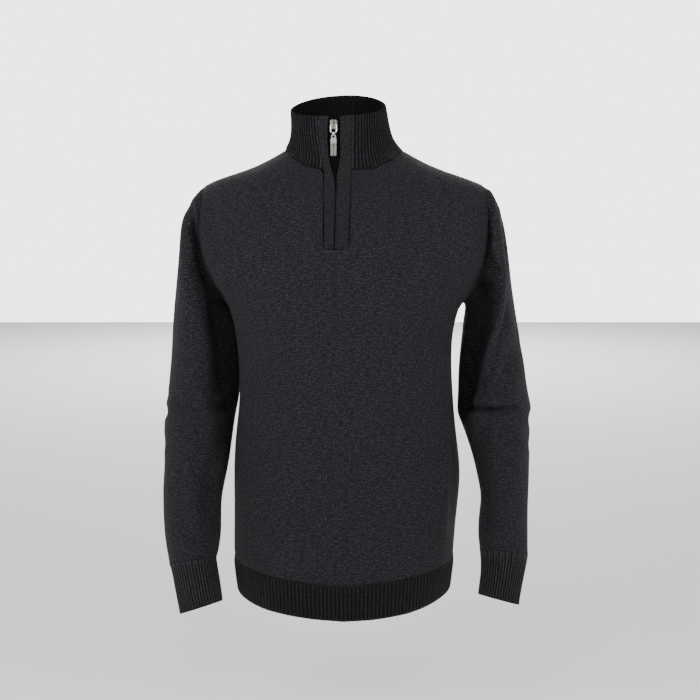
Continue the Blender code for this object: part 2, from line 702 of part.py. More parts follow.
# ---------------------------------------------------------------- cloth pieces
def armhole_loop(front, back, side):
    """Seam points round an armhole: top, down the front, bottom, up the back."""
    c = 0 if side < 0 else front.shape[1] - 1
    top = front.shape[0] - 1
    rows_down = list(range(top, LOWER_ROWS - 1, -1))
    rows_up = list(range(LOWER_ROWS + 1, top))
    points = np.array([front[r, c] for r in rows_down] + [back[r, c] for r in rows_up])
    normals = np.array([body_normal(p) for p in points])
    away = loop_inward(points, normals, points.mean(axis=0))
    return points, normals, away


def panel_wall(grid, face, seam, holes):
    """Outer and inner points of a body panel and the cells it fills."""
    keys, _points, _shares, mitre = seam
    rows, count = grid.shape[:2]
    top = rows - 1
    normals = np.array([[body_normal(p) for p in row] for row in grid])
    offset = normals * WALL
    for (key_face, c), direction in zip(keys, mitre):
        shared = c in (SHOULDER_CELLS, count - 1 - SHOULDER_CELLS)
        if key_face == face or shared:
            offset[top, c] = direction * WALL
    shift = np.zeros_like(grid)
    shift[0, :, 2] += HALF_GAP
    for c in (0, count - 1):
        shift[:LOWER_ROWS + 1, c, 1] += face * HALF_GAP
        shift[top, c, 1] += face * HALF_GAP
    shoulder = list(range(1, SHOULDER_CELLS + 1)) + list(range(count - 1 - SHOULDER_CELLS, count - 1))
    shift[top, shoulder, 1] += face * HALF_GAP
    neck = range(SHOULDER_CELLS, count - SHOULDER_CELLS)
    for c in neck:
        along = grid[top, c + 1] - grid[top, c - 1]
        shift[top, c] += HALF_GAP * square_to(along, grid[top - 1, c] - grid[top, c])
    for side, (_loop, _normals, away) in holes.items():
        c = 0 if side < 0 else count - 1
        last = len(away)
        for r in range(LOWER_ROWS, rows):
            k = top - r if face < 0 else (last - (top - r)) % last
            shift[r, c] += HALF_GAP * away[k]
    present = np.ones((rows - 1, count - 1), bool)
    if face < 0:
        notch = LOWER_ROWS + NOTCH_ROWS
        left = SHOULDER_CELLS + NECK_CELLS
        right = left + 2
        present[notch:, left:right] = False
        shift[notch:, left, 0] -= HALF_GAP
        shift[notch:, right, 0] += HALF_GAP
        shift[notch, left:right + 1, 2] -= HALF_GAP
    outer = grid + shift
    return outer, outer - offset, present, offset


def hem_band(face, bottom_row):
    """Outer and inner points of a ribbed hem band."""
    count = 2 * HEM_RIBS + 1
    shares = np.linspace(0.0, 1.0, count)
    rows = [even_steps(bottom_row, shares)]
    for t in HEM_LEVELS:
        ring = []
        for s in shares:
            side = -1.0 if s < 0.5 else 1.0
            part = abs(2.0 * s - 1.0)
            z = HEM_TOP_Z + (HEM_END_Z - HEM_TOP_Z) * t
            if face < 0:
                z -= (HEM_TOP_DIP + (HEM_END_DIP - HEM_TOP_DIP) * t) * (1.0 - part) ** 2
            ring.append(level_point(part, z, side, face))
        rows.append(np.array(ring))
    base = np.stack(rows)
    normals = np.array([[body_normal(p) for p in row] for row in base])
    base[0, :, 2] -= HALF_GAP
    base[:, 0, 1] += face * HALF_GAP
    base[:, -1, 1] += face * HALF_GAP
    inner = (base - RIB_WALL * normals)[:, ::INNER_STEP]
    outer = base.copy()
    outer[1:, 1::2] += RIB_RISE * normals[1:, 1::2]
    return outer, inner


def collar_band(seam):
    """Outer and inner points of the collar, and its wall directions."""
    _keys, points, node_shares, mitre = seam
    count = 2 * COLLAR_RIBS + 1
    shares = np.linspace(0.0, 1.0, count)
    rows = [even_steps(points, shares)]
    rows += [even_steps(collar_line(row), shares) for row in COLLAR_RINGS]
    base = np.stack(rows)
    normals = -grid_normals(base, False)
    for k in range(3):
        normals[0, :, k] = np.interp(shares, node_shares, mitre[:, k])
    directions = normals.copy()
    base[0] += HALF_GAP * square_to(np.gradient(base[0], axis=0), base[1] - base[0])
    base[:, 0, 0] += HALF_GAP
    base[:, -1, 0] -= HALF_GAP
    inner = (base - RIB_WALL * normals)[:, ::INNER_STEP]
    outer = base.copy()
    outer[1:, 1::2] += RIB_RISE * normals[1:, 1::2]
    return outer, inner, directions


def sleeve_value(row, name):
    """One named size of a sleeve ring."""
    return row[SLEEVE_COLUMNS.index(name)]


def sleeve_ring(row, side, turns):
    """Points of one sleeve ring: turn 0 outside, a quarter turn at the front."""
    out = np.array([side * sleeve_value(row, "out_x"), 0.0, sleeve_value(row, "out_z")])
    inside = np.array([side * sleeve_value(row, "in_x"), 0.0, sleeve_value(row, "in_z")])
    middle = 0.5 * (out + inside) + np.array([0.0, sleeve_value(row, "back"), 0.0])
    reach = 0.5 * (out - inside)
    lean = math.radians(sleeve_value(row, "lean"))
    forward = sleeve_value(row, "depth") * np.array([0.0, -math.cos(lean), math.sin(lean)])
    return middle + np.cos(turns)[:, None] * reach + np.sin(turns)[:, None] * forward


def add_folds(grid, side, folds):
    """Move a sleeve grid's points out or in along its large folds."""
    rings, count = grid.shape[:2]
    normals = -side * grid_normals(grid, True)
    moved = grid.copy()

    def surface(ring, degrees):
        k = degrees / 360.0 * count
        r0, c0 = int(ring), int(k)
        fr, fc = ring - r0, k - c0
        r1, c1 = min(r0 + 1, rings - 1), (c0 + 1) % count
        near = (1.0 - fc) * grid[r0, c0 % count] + fc * grid[r0, c1]
        far = (1.0 - fc) * grid[r1, c0 % count] + fc * grid[r1, c1]
        return (1.0 - fr) * near + fr * far

    for path, width, rise in folds:
        marks = [surface(ring, degrees) for ring, degrees in path]
        line = even_steps(marks, np.linspace(0.0, 1.0, FOLD_POINTS))
        taper = np.sin(np.pi * np.linspace(FOLD_END, 1.0 - FOLD_END, FOLD_POINTS)) ** FOLD_FADE
        for r in range(2, rings - 2):
            for c in range(count):
                gap = np.linalg.norm(line - grid[r, c], axis=1)
                weight = np.max(np.exp(-(gap / width) ** 2) * taper)
                moved[r, c] += normals[r, c] * rise * weight
    return moved


def sleeve_grid(table, side, hole, folds):
    """Points of a sleeve: rings from armhole to cuff."""
    loop, _normals, _away = hole
    count = len(loop)
    first = table[0]
    ends = sleeve_ring(first, side, np.array([0.0, math.pi]))
    middle = ends.mean(axis=0)
    reach = 0.5 * (ends[0] - ends[1])
    cosine = np.clip((loop - middle) @ reach / (reach @ reach), -1.0, 1.0)
    turns = np.arccos(cosine)
    turns[count // 2 + 1:] = 2.0 * math.pi - turns[count // 2 + 1:]
    even = np.arange(count) * 2.0 * math.pi / count
    left_over = loop - sleeve_ring(first, side, turns)
    rows = []
    for r, row in enumerate(table):
        settled = ease(r / SETTLE_RINGS)
        ring = sleeve_ring(row, side, (1.0 - settled) * turns + settled * even)
        rows.append(ring + (1.0 - settled) * left_over)
    return add_folds(np.stack(rows), side, folds)


def cuff_seam(grid, table, side):
    """Wall directions where a sleeve meets its cuff."""
    even = np.arange(grid.shape[1]) * 2.0 * math.pi / grid.shape[1]
    across = np.roll(grid[-1], -1, axis=0) - np.roll(grid[-1], 1, axis=0)
    above = -side * unit(np.cross(grid[-1] - grid[-2], across))
    below = -side * unit(np.cross(sleeve_ring(table[0], side, even) - grid[-1], across))
    mitre = unit(above + below)
    return mitre / np.sum(mitre * above, axis=1, keepdims=True)


def sleeve_wall(grid, hole, normals, cuff_normals):
    """Outer and inner points of a sleeve."""
    loop, loop_normals, away = hole
    normals = normals.copy()
    normals[0] = loop_normals
    normals[-1] = cuff_normals
    outer = grid.copy()
    outer[0] = loop - HALF_GAP * away
    outer[-1] += HALF_GAP * unit(grid[-2] - grid[-1])
    return outer, outer - WALL * normals


def around(ring, steps):
    """A closed ring with each side divided into steps."""
    share = np.arange(steps)[None, :, None] / steps
    after = np.roll(ring, -1, axis=0)
    return (ring[:, None, :] * (1.0 - share) + after[:, None, :] * share).reshape(-1, 3)


def cuff_band(table, side, last_ring, seam_normals):
    """Outer and inner points of a ribbed cuff."""
    count = 2 * CUFF_RIBS
    steps = count // len(last_ring)
    turns = np.arange(count) * 2.0 * math.pi / count
    base = np.stack([around(last_ring, steps)] + [sleeve_ring(row, side, turns) for row in table])
    normals = -side * grid_normals(base, True)
    normals[0] = around(seam_normals, steps)
    base[0] += HALF_GAP * unit(base[1] - base[0])
    inner = (base - RIB_WALL * normals)[:, ::INNER_STEP]
    outer = base.copy()
    outer[1:, 1::2] += RIB_RISE * normals[1:, 1::2]
    return outer, inner


def placket_rows(front):
    """For each placket row, from its end up to the rim: a function giving its point at x."""
    notch = LOWER_ROWS + NOTCH_ROWS
    slit = SHOULDER_CELLS + NECK_CELLS + 1
    rows = []
    for r in range(notch, front.shape[0] - 1):
        z = float(front[r, slit, 2])
        rows.append((z, lambda x, z=z: on_body(x, z, -1)))
    rows.append((neck_z(0.0, -1), lambda x: on_body(x, neck_z(x, -1), -1)))
    for ring in COLLAR_RINGS:
        rows.append((collar_value(ring, "z_front"), lambda x, ring=ring: collar_front(ring, x)))
    return rows


def placket_wall(side, front, front_offset, collar_directions):
    """Outer and inner points of one placket band."""
    notch = LOWER_ROWS + NOTCH_ROWS
    name = "left" if side < 0 else "right"
    edge_column = SHOULDER_CELLS + NECK_CELLS + (0 if side < 0 else 2)
    body_rows = front.shape[0] - notch
    grid = []
    for k, (z, at) in enumerate(placket_rows(front)):
        outer_x = placket_x("outer_" + name, z)
        inner_x = placket_x("inner_" + name, z)
        edge = front[notch + k, edge_column] if k < body_rows else at(outer_x)
        middle = at(0.5 * (outer_x + inner_x))
        middle[2] = 0.5 * (edge[2] + at(inner_x)[2])
        grid.append([edge, middle, at(inner_x)])
    grid = np.array(grid)
    offset = side * grid_normals(grid, False) * WALL
    offset[:body_rows, 0] = front_offset[notch:, edge_column]
    collar_edge = -1 if side < 0 else 0
    offset[body_rows:, 0] = collar_directions[1:, collar_edge] * WALL
    outer = grid.copy()
    outer[:, 0, 0] -= side * HALF_GAP
    outer[0, :, 2] += HALF_GAP
    return outer, outer - offset


def tape_wall(side, front):
    """Outer and inner points of one half of the zip tape."""
    grid = []
    rows = placket_rows(front)
    for z, at in rows:
        near = slit_x(z) + side * TAPE_HALF_SLIT
        grid.append([at(near + side * TAPE_WIDTH), at(near + side * 0.5 * TAPE_WIDTH), at(near)])
    grid = np.array(grid)
    normals = side * grid_normals(grid, False)
    outer = grid - (WALL + TAPE_GAP) * normals
    inner = outer - TAPE_WALL * normals
    for face in (outer, inner):
        face[0, :, 2] += 2.0 * HALF_GAP
        face[-1] -= TAPE_SHORT * (face[-1] - face[-2])
    return outer, inner


# ---------------------------------------------------------------- metal pieces
def add_spline(curve, points):
    """A closed line through flat points."""
    spline = curve.splines.new("POLY")
    spline.points.add(len(points) - 1)
    for target, (a, b) in zip(spline.points, points):
        target.co = (a, b, 0.0, 1.0)
    spline.use_cyclic_u = True


def flat_solid(outline, thickness, turn, centre):
    """A filled outline made solid, turned into its plane and moved to its place."""
    curve = bpy.data.curves.new("outline", "CURVE")
    curve.dimensions = "2D"
    curve.fill_mode = "BOTH"
    curve.extrude = 0.5 * thickness
    add_spline(curve, outline)
    drawn = bpy.data.objects.new("outline", curve)
    bpy.context.scene.collection.objects.link(drawn)
    seen = bpy.context.evaluated_depsgraph_get()
    mesh = bpy.data.meshes.new_from_object(drawn.evaluated_get(seen))
    bpy.data.objects.remove(drawn)
    bm = bmesh.new()
    bm.from_mesh(mesh)
    bpy.data.meshes.remove(mesh)
    bmesh.ops.remove_doubles(bm, verts=bm.verts, dist=WELD)
    bmesh.ops.recalc_face_normals(bm, faces=bm.faces)
    bmesh.ops.rotate(bm, cent=(0.0, 0.0, 0.0), matrix=turn, verts=bm.verts)
    bmesh.ops.translate(bm, vec=centre, verts=bm.verts)
    return bm


def rounded_frame(half_width, drop, top_corner, end_corner, steps):
    """Path of a rounded rectangle hanging from its upper bar's middle line."""
    corners = ((half_width - top_corner, -top_corner, top_corner, 90.0),
               (half_width - end_corner, -drop + end_corner, end_corner, 0.0),
               (-half_width + end_corner, -drop + end_corner, end_corner, -90.0),
               (-half_width + top_corner, -top_corner, top_corner, -180.0))
    path = []
    for x, z, radius, start in corners:
        for k in range(steps + 1):
            a = math.radians(start - 90.0 * k / steps)
            path.append((x + radius * math.cos(a), z + radius * math.sin(a)))
    return path


def helper(name, bm, collection):
    """A solid used to build another one."""
    mesh = bpy.data.meshes.new(name)
    bm.to_mesh(mesh)
    bm.free()
    result = bpy.data.objects.new(name, mesh)
    collection.objects.link(result)
    result.hide_render = True
    result.display_type = "WIRE"
    return result


def combine(target, tools):
    """Join solids to, or cut them from, a target object."""
    for operation, tool in tools:
        modifier = target.modifiers.new(tool.name, "BOOLEAN")
        modifier.operation = operation
        modifier.solver = "EXACT"
        modifier.object = tool


def box_bm(size, centre):
    """A box of a given size about a centre."""
    bm = bmesh.new()
    bmesh.ops.create_cube(bm, size=1.0)
    bmesh.ops.scale(bm, vec=size, verts=bm.verts)
    bmesh.ops.translate(bm, vec=centre, verts=bm.verts)
    return bm


def bar_bm(radius, half_length):
    """A round bar along X through the origin."""
    bm = bmesh.new()
    bmesh.ops.create_cone(bm, cap_ends=True, segments=ROUND_SIDES, radius1=radius, radius2=radius,
                          depth=2.0 * half_length)
    bmesh.ops.rotate(bm, cent=(0.0, 0.0, 0.0), matrix=Matrix.Rotation(math.pi / 2.0, 3, "Y"), verts=bm.verts)
    return bm


def ring_bm(radius, wire, centre):
    """A round ring whose axis is along Y."""
    bpy.ops.mesh.primitive_torus_add(major_segments=ROUND_SIDES, minor_segments=WIRE_SIDES,
                                     major_radius=radius, minor_radius=wire)
    torus = bpy.context.object
    bm = bmesh.new()
    bm.from_mesh(torus.data)
    bpy.data.objects.remove(torus)
    bmesh.ops.rotate(bm, cent=(0.0, 0.0, 0.0), matrix=FACING, verts=bm.verts)
    bmesh.ops.translate(bm, vec=centre, verts=bm.verts)
    return bm


def build_slider(parts, guides):
    """Slider body with its bridge."""
    half = [(x, SLIDER_TOP_Z - drop) for x, drop in SLIDER_OUTLINE]
    outline = [(ZIP_X + x, z) for x, z in half] + [(ZIP_X - x, z) for x, z in reversed(half)]
    plate = flat_solid(outline, SLIDER_BACK_Y - SLIDER_FRONT_Y, FACING,
                       (0.0, 0.5 * (SLIDER_BACK_Y + SLIDER_FRONT_Y), 0.0))
    slider = finish_object("zip_slider", plate, SLIDER_METAL, 1.0, 0.28, parts)
    root = SLIDER_FRONT_Y + BRIDGE_ROOT
    inner = BRIDGE_FRONT_Y + BRIDGE_STRAP
    shape = ((root, BRIDGE_TOP_Z), (BRIDGE_FRONT_Y + BRIDGE_CORNER, BRIDGE_TOP_Z),
             (BRIDGE_FRONT_Y, BRIDGE_TOP_Z - 2.0 * BRIDGE_CORNER),
             (BRIDGE_FRONT_Y, BRIDGE_END_Z + 2.0 * BRIDGE_CORNER),
             (BRIDGE_FRONT_Y + BRIDGE_CORNER, BRIDGE_END_Z), (root, BRIDGE_END_Z),
             (root, BRIDGE_END_Z + BRIDGE_FOOT), (inner, BRIDGE_END_Z + BRIDGE_FOOT),
             (inner, BRIDGE_TOP_Z - BRIDGE_FOOT), (root, BRIDGE_TOP_Z - BRIDGE_FOOT))
    bridge = flat_solid(shape, 2.0 * BRIDGE_HALF_WIDTH, EDGE_ON, (ZIP_X, 0.0, 0.0))
    combine(slider, [("UNION", helper("bridge", bridge, guides))])


def build_link(parts):
    """Wire link between slider and tab, its origin on its hinge."""
    curve = bpy.data.curves.new("zip_link", "CURVE")
    curve.dimensions = "3D"
    curve.fill_mode = "FULL"
    curve.bevel_depth = LINK_BAR
    curve.bevel_resolution = 2
    add_spline(curve, rounded_frame(LINK_HALF_WIDTH, LINK_DROP, LINK_TOP_CORNER, LINK_END_CORNER, 5))
    curve.materials.append(plain_material("zip_link", PULL_METAL, 1.0, 0.25))
    link = bpy.data.objects.new("zip_link", curve)
    parts.objects.link(link)
    link.rotation_euler.x = math.pi / 2.0
    link.location = (ZIP_X, LINK_TOP[0], LINK_TOP[1])


def build_tab(parts, guides):
    """Pull tab, its origin on its hinge."""
    follow = Matrix.Rotation(-math.radians(TAB_LEAN), 3, "X")

    def tilt(bm):
        bmesh.ops.rotate(bm, cent=(0.0, 0.0, 0.0), verts=bm.verts, matrix=follow)
        return bm

    plate = box_bm((2.0 * TAB_HALF_WIDTH, TAB_THICK, TAB_END_DROP - TAB_TOP_DROP),
                   (0.0, 0.0, -0.5 * (TAB_END_DROP + TAB_TOP_DROP)))
    corners = [e for e in plate.edges if abs(e.verts[0].co.y - e.verts[1].co.y) > 0.5 * TAB_THICK]
    bmesh.ops.bevel(plate, geom=corners, offset=TAB_CORNER, affect="EDGES", segments=3, profile=0.5,
                    material=-1)
    tab = finish_object("zip_tab", tilt(plate), PULL_METAL, 1.0, 0.30, parts)
    lip = box_bm((2.0 * (TAB_HALF_WIDTH - TAB_LIP_INSET), TAB_THICK, TAB_LIP),
                 (0.0, -TAB_LIP_RISE, -TAB_TOP_DROP - TAB_LIP_INSET - 0.5 * TAB_LIP))
    eye = ring_bm(EYE_RADIUS, EYE_WIRE, (0.0, 0.0, -EYE_DROP))
    neck = box_bm(TAB_NECK, (0.0, 0.0, -0.5 * (KNUCKLE_RADIUS + EYE_DROP - EYE_RADIUS)))
    knuckle = bar_bm(KNUCKLE_RADIUS, KNUCKLE_HALF_WIDTH)
    bore = bar_bm(KNUCKLE_BORE, 2.0 * KNUCKLE_HALF_WIDTH)
    combine(tab, [("UNION", helper("tab_lip", tilt(lip), guides)),
                  ("UNION", helper("tab_eye", tilt(eye), guides)),
                  ("UNION", helper("tab_neck", tilt(neck), guides)),
                  ("UNION", helper("tab_knuckle", knuckle, guides)),
                  ("DIFFERENCE", helper("tab_bore", bore, guides))])
    hinge = (ZIP_X, LINK_TOP[0], LINK_TOP[1] - LINK_DROP)
    tab.location = hinge
    for tool in guides.objects:
        if tool.name.startswith("tab_"):
            tool.location = hinge


# ---------------------------------------------------------------- whole garment
def add_cloth(name, bm, colour, collection):
    """A knitted or woven piece."""
    finish_object(name, bm, colour, 0.0, 0.92, collection)


def main():
    """Build every piece of the garment."""
    for old in list(bpy.data.objects):
        bpy.data.objects.remove(old)
    parts = bpy.data.collections.new("quarter_zip_pullover")
    guides = bpy.data.collections.new("construction")
    for group in (parts, guides):
        bpy.context.scene.collection.children.link(group)

    front = panel_grid(-1)
    back = panel_grid(1)
    seam = neck_seam(front, back)
    holes = {side: armhole_loop(front, back, side) for side in (-1, 1)}

    front_outer, front_inner, front_cells, front_offset = panel_wall(front, -1, seam, holes)
    back_outer, back_inner, back_cells, _back_offset = panel_wall(back, 1, seam, holes)
    add_cloth("front", thick_sheet(front_outer, front_inner, front_cells), CLOTH, parts)
    add_cloth("back", thick_sheet(back_outer, back_inner, back_cells), CLOTH, parts)
    add_cloth("hem_front", ribbed_band(*hem_band(-1, front[0]), False), RIB_CLOTH, parts)
    add_cloth("hem_back", ribbed_band(*hem_band(1, back[0]), False), RIB_CLOTH, parts)

    collar_outer, collar_inner, collar_directions = collar_band(seam)
    add_cloth("collar", ribbed_band(collar_outer, collar_inner, False), RIB_CLOTH, parts)

    arms = ((1, "right", RIGHT_SLEEVE, RIGHT_CUFF, RIGHT_FOLDS),
            (-1, "left", LEFT_SLEEVE, LEFT_CUFF, LEFT_FOLDS))
    for side, name, table, cuff, folds in arms:
        grid = sleeve_grid(table, side, holes[side], folds)
        normals = -side * grid_normals(grid, True)
        cuff_normals = cuff_seam(grid, cuff, side)
        outer, inner = sleeve_wall(grid, holes[side], normals, cuff_normals)
        every = np.ones((grid.shape[0] - 1, grid.shape[1]), bool)
        add_cloth("sleeve_" + name, thick_sheet(outer, inner, every, True), CLOTH, parts)
        outer, inner = cuff_band(cuff, side, grid[-1], cuff_normals)
        add_cloth("cuff_" + name, ribbed_band(outer, inner, True), RIB_CLOTH, parts)

    for side, name in ((-1, "left"), (1, "right")):
        outer, inner = placket_wall(side, front, front_offset, collar_directions)
        every = np.ones((outer.shape[0] - 1, outer.shape[1] - 1), bool)
        add_cloth("placket_" + name, thick_sheet(outer, inner, every), CLOTH, parts)
        outer, inner = tape_wall(side, front)
        add_cloth("zip_tape_" + name, thick_sheet(outer, inner, every), TAPE_CLOTH, parts)

    build_slider(parts, guides)
    build_link(parts)
    build_tab(parts, guides)


main()
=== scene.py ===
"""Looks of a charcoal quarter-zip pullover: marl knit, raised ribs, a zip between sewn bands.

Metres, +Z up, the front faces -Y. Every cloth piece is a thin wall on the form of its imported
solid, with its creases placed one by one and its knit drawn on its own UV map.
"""
from __future__ import annotations

import logging
import math
from dataclasses import dataclass, replace
from enum import Enum

import bmesh
import bpy
import numpy as np
from mathutils import Matrix, Vector
from mathutils.bvhtree import BVHTree
from mathutils.kdtree import KDTree

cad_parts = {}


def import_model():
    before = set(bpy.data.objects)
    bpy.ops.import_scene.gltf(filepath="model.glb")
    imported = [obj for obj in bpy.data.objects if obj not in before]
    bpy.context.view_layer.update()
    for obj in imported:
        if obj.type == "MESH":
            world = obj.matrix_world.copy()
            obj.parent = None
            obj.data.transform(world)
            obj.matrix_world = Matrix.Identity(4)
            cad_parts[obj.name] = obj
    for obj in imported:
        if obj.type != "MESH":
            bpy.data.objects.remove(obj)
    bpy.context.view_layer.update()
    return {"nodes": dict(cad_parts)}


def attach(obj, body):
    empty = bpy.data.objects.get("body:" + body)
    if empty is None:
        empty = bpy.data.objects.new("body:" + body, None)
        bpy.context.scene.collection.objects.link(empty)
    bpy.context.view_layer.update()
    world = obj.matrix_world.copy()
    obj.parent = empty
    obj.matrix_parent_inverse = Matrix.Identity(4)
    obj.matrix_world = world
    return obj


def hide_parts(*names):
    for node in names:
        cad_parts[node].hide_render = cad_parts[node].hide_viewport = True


LOG = logging.getLogger("pullover")

Colour = tuple[float, float, float, float]
Spot = tuple[float, float, float]
Socket = bpy.types.NodeSocket
Object = bpy.types.Object
Mesh = bpy.types.Mesh
BMesh = bmesh.types.BMesh
Array = np.ndarray

GARMENT = "garment"
CORE = (0.0, 0.0, -0.20)               # a point inside the body
EYE = Vector((0.009, -1.30, -0.170))   # viewpoint from which the front creases are laid out
SEWN_DEPTH = 0.0014                    # how far a sewn edge of the placket is drawn in
SEWN_OPEN = -0.00030                   # how far the placket's sewn edges stand back from the seam
SEAM_CLOSE = 0.00035                   # how far a sewn edge is let out over its gap
SLIT_FOOT = -0.1505                    # height just above the foot of the placket's slit
TINY = 1e-9                            # keeps a length from being divided by nothing

# The zip's middle line from its foot to the collar's rim: heights, and places across.
SLIT_HEIGHTS = (-0.1513, -0.1179, -0.0849, -0.0690, -0.0545,
                -0.0397, -0.0314, -0.0169, 0.0097, 0.0359)
SLIT_ACROSS = (-0.0127, -0.0118, -0.0107, -0.0103, -0.0110,
               -0.0124, -0.0127, -0.0136, -0.0146, -0.0144)


class Side(Enum):
    """Which side of the garment, as seen from the front."""

    LEFT = -1.0
    RIGHT = 1.0


class Facing(Enum):
    """Which way the cloth faces where a crease lies: an axis and a direction along it."""

    FRONT = (1, -1.0)
    BACK = (1, 1.0)
    TO_RIGHT = (0, 1.0)
    TO_LEFT = (0, -1.0)


class Form(Enum):
    """Cross-section of a crease."""

    RIDGE = "ridge"
    VALLEY = "valley"
    ROLL = "roll"


def stand(name: str, data: bpy.types.ID) -> Object:
    """Put new data into the scene as an object.

    Args:
        name: The object's name.
        data: Its mesh, light or camera.

    Returns:
        The object.
    """
    made = bpy.data.objects.new(name, data)
    bpy.context.scene.collection.objects.link(made)
    return made


def finished_mesh(name: str, made: BMesh) -> Mesh:
    """Turn a bmesh into a mesh.

    Args:
        name: The mesh's name.
        made: The bmesh, which is used up.

    Returns:
        The mesh.
    """
    mesh = bpy.data.meshes.new(name)
    made.to_mesh(mesh)
    made.free()
    return mesh


# ---- shader building
class Shader:
    """Adds nodes to one material and joins them."""

    def __init__(self, name: str) -> None:
        """Start a material.

        Args:
            name: The material's name.
        """
        self.material = bpy.data.materials.new(name)
        self.material.use_nodes = True
        self.tree = self.material.node_tree
        self.surface = self.tree.nodes["Principled BSDF"]

    def node(self, kind: str, **settings: object) -> bpy.types.Node:
        """Add a node.

        Args:
            kind: Blender's name of the node type.
            settings: Properties to set on it.

        Returns:
            The new node.
        """
        made = self.tree.nodes.new(kind)
        for key, value in settings.items():
            setattr(made, key, value)
        return made

    def feed(self, socket: Socket, value: object) -> None:
        """Give an input either a value or the output of another node.

        Args:
            socket: The input.
            value: A number, a colour or a socket.
        """
        if isinstance(value, Socket):
            self.tree.links.new(value, socket)
        else:
            socket.default_value = value

    def dress(self, settings: dict[str, object]) -> None:
        """Set the surface's inputs by name."""
        for name, value in settings.items():
            self.feed(self.surface.inputs[name], value)

    def split(self, place: Socket) -> tuple[Socket, ...]:
        """Take a coordinate apart.

        Args:
            place: The coordinate.

        Returns:
            Its three numbers.
        """
        parts = self.node("ShaderNodeSeparateXYZ")
        self.feed(parts.inputs[0], place)
        return tuple(parts.outputs)

    def on_cloth(self) -> Socket:
        """Coordinates on the cloth's UV map, in metres."""
        return self.node("ShaderNodeUVMap", uv_map="cloth").outputs[0]

    def on_object(self) -> Socket:
        """Coordinates on the object, in metres."""
        return self.node("ShaderNodeTexCoord").outputs["Object"]

    def math(self, operation: str, *values: object, clamp: bool = False) -> Socket:
        """Join numbers or sockets by one operation.

        Args:
            operation: Blender's name of the operation.
            values: Its inputs.
            clamp: Whether the result is kept between 0 and 1.

        Returns:
            The result's socket.
        """
        made = self.node("ShaderNodeMath", operation=operation, use_clamp=clamp)
        for socket, value in zip(made.inputs, values):
            self.feed(socket, value)
        return made.outputs[0]

    def spread(self, value: Socket, low: float, high: float) -> Socket:
        """A smooth step.

        Args:
            value: The number that it follows.
            low: Where the step is 0.
            high: Where the step is 1.

        Returns:
            A number from 0 to 1.
        """
        made = self.node("ShaderNodeMapRange", interpolation_type="SMOOTHSTEP", clamp=True)
        self.feed(made.inputs["Value"], value)
        made.inputs["From Min"].default_value = low
        made.inputs["From Max"].default_value = high
        return made.outputs["Result"]

    def noise(self, vector: Socket, stretch: Spot, detail: float = 2.0) -> Socket:
        """Soft noise with its own frequency along each direction.

        Args:
            vector: Coordinates in metres.
            stretch: Blobs to the metre along each coordinate.
            detail: Finer layers of the noise.

        Returns:
            A number from 0 to 1.
        """
        scaled = self.node("ShaderNodeVectorMath", operation="MULTIPLY")
        self.feed(scaled.inputs[0], vector)
        scaled.inputs[1].default_value = stretch
        made = self.node("ShaderNodeTexNoise")
        self.feed(made.inputs["Vector"], scaled.outputs[0])
        made.inputs["Scale"].default_value = 1.0
        made.inputs["Detail"].default_value = detail
        return made.outputs["Fac"]

    def mix(self, factor: object, low: object, high: object) -> Socket:
        """Mix two colours.

        Args:
            factor: Share of the second colour.
            low: The first colour or its socket.
            high: The second colour or its socket.

        Returns:
            The mixed colour's socket.
        """
        made = self.node("ShaderNodeMix", data_type="RGBA")
        self.feed(made.inputs[0], factor)
        self.feed(made.inputs[6], low)
        self.feed(made.inputs[7], high)
        return made.outputs[2]

    def bump(self, height: Socket, depth: float, strength: float) -> None:
        """Drive the surface's normal from a height.

        Args:
            height: Height from 0 to 1.
            depth: What a height of 1 stands for, in metres.
            strength: Share of the effect.
        """
        made = self.node("ShaderNodeBump")
        made.inputs["Strength"].default_value = strength
        made.inputs["Distance"].default_value = depth
        self.feed(made.inputs["Height"], height)
        self.tree.links.new(made.outputs["Normal"], self.surface.inputs["Normal"])


def darker(colour: Colour, share: float) -> Colour:
    """A colour turned down to a share of its own light."""
    return tuple(share * part for part in colour[:3]) + (1.0,)


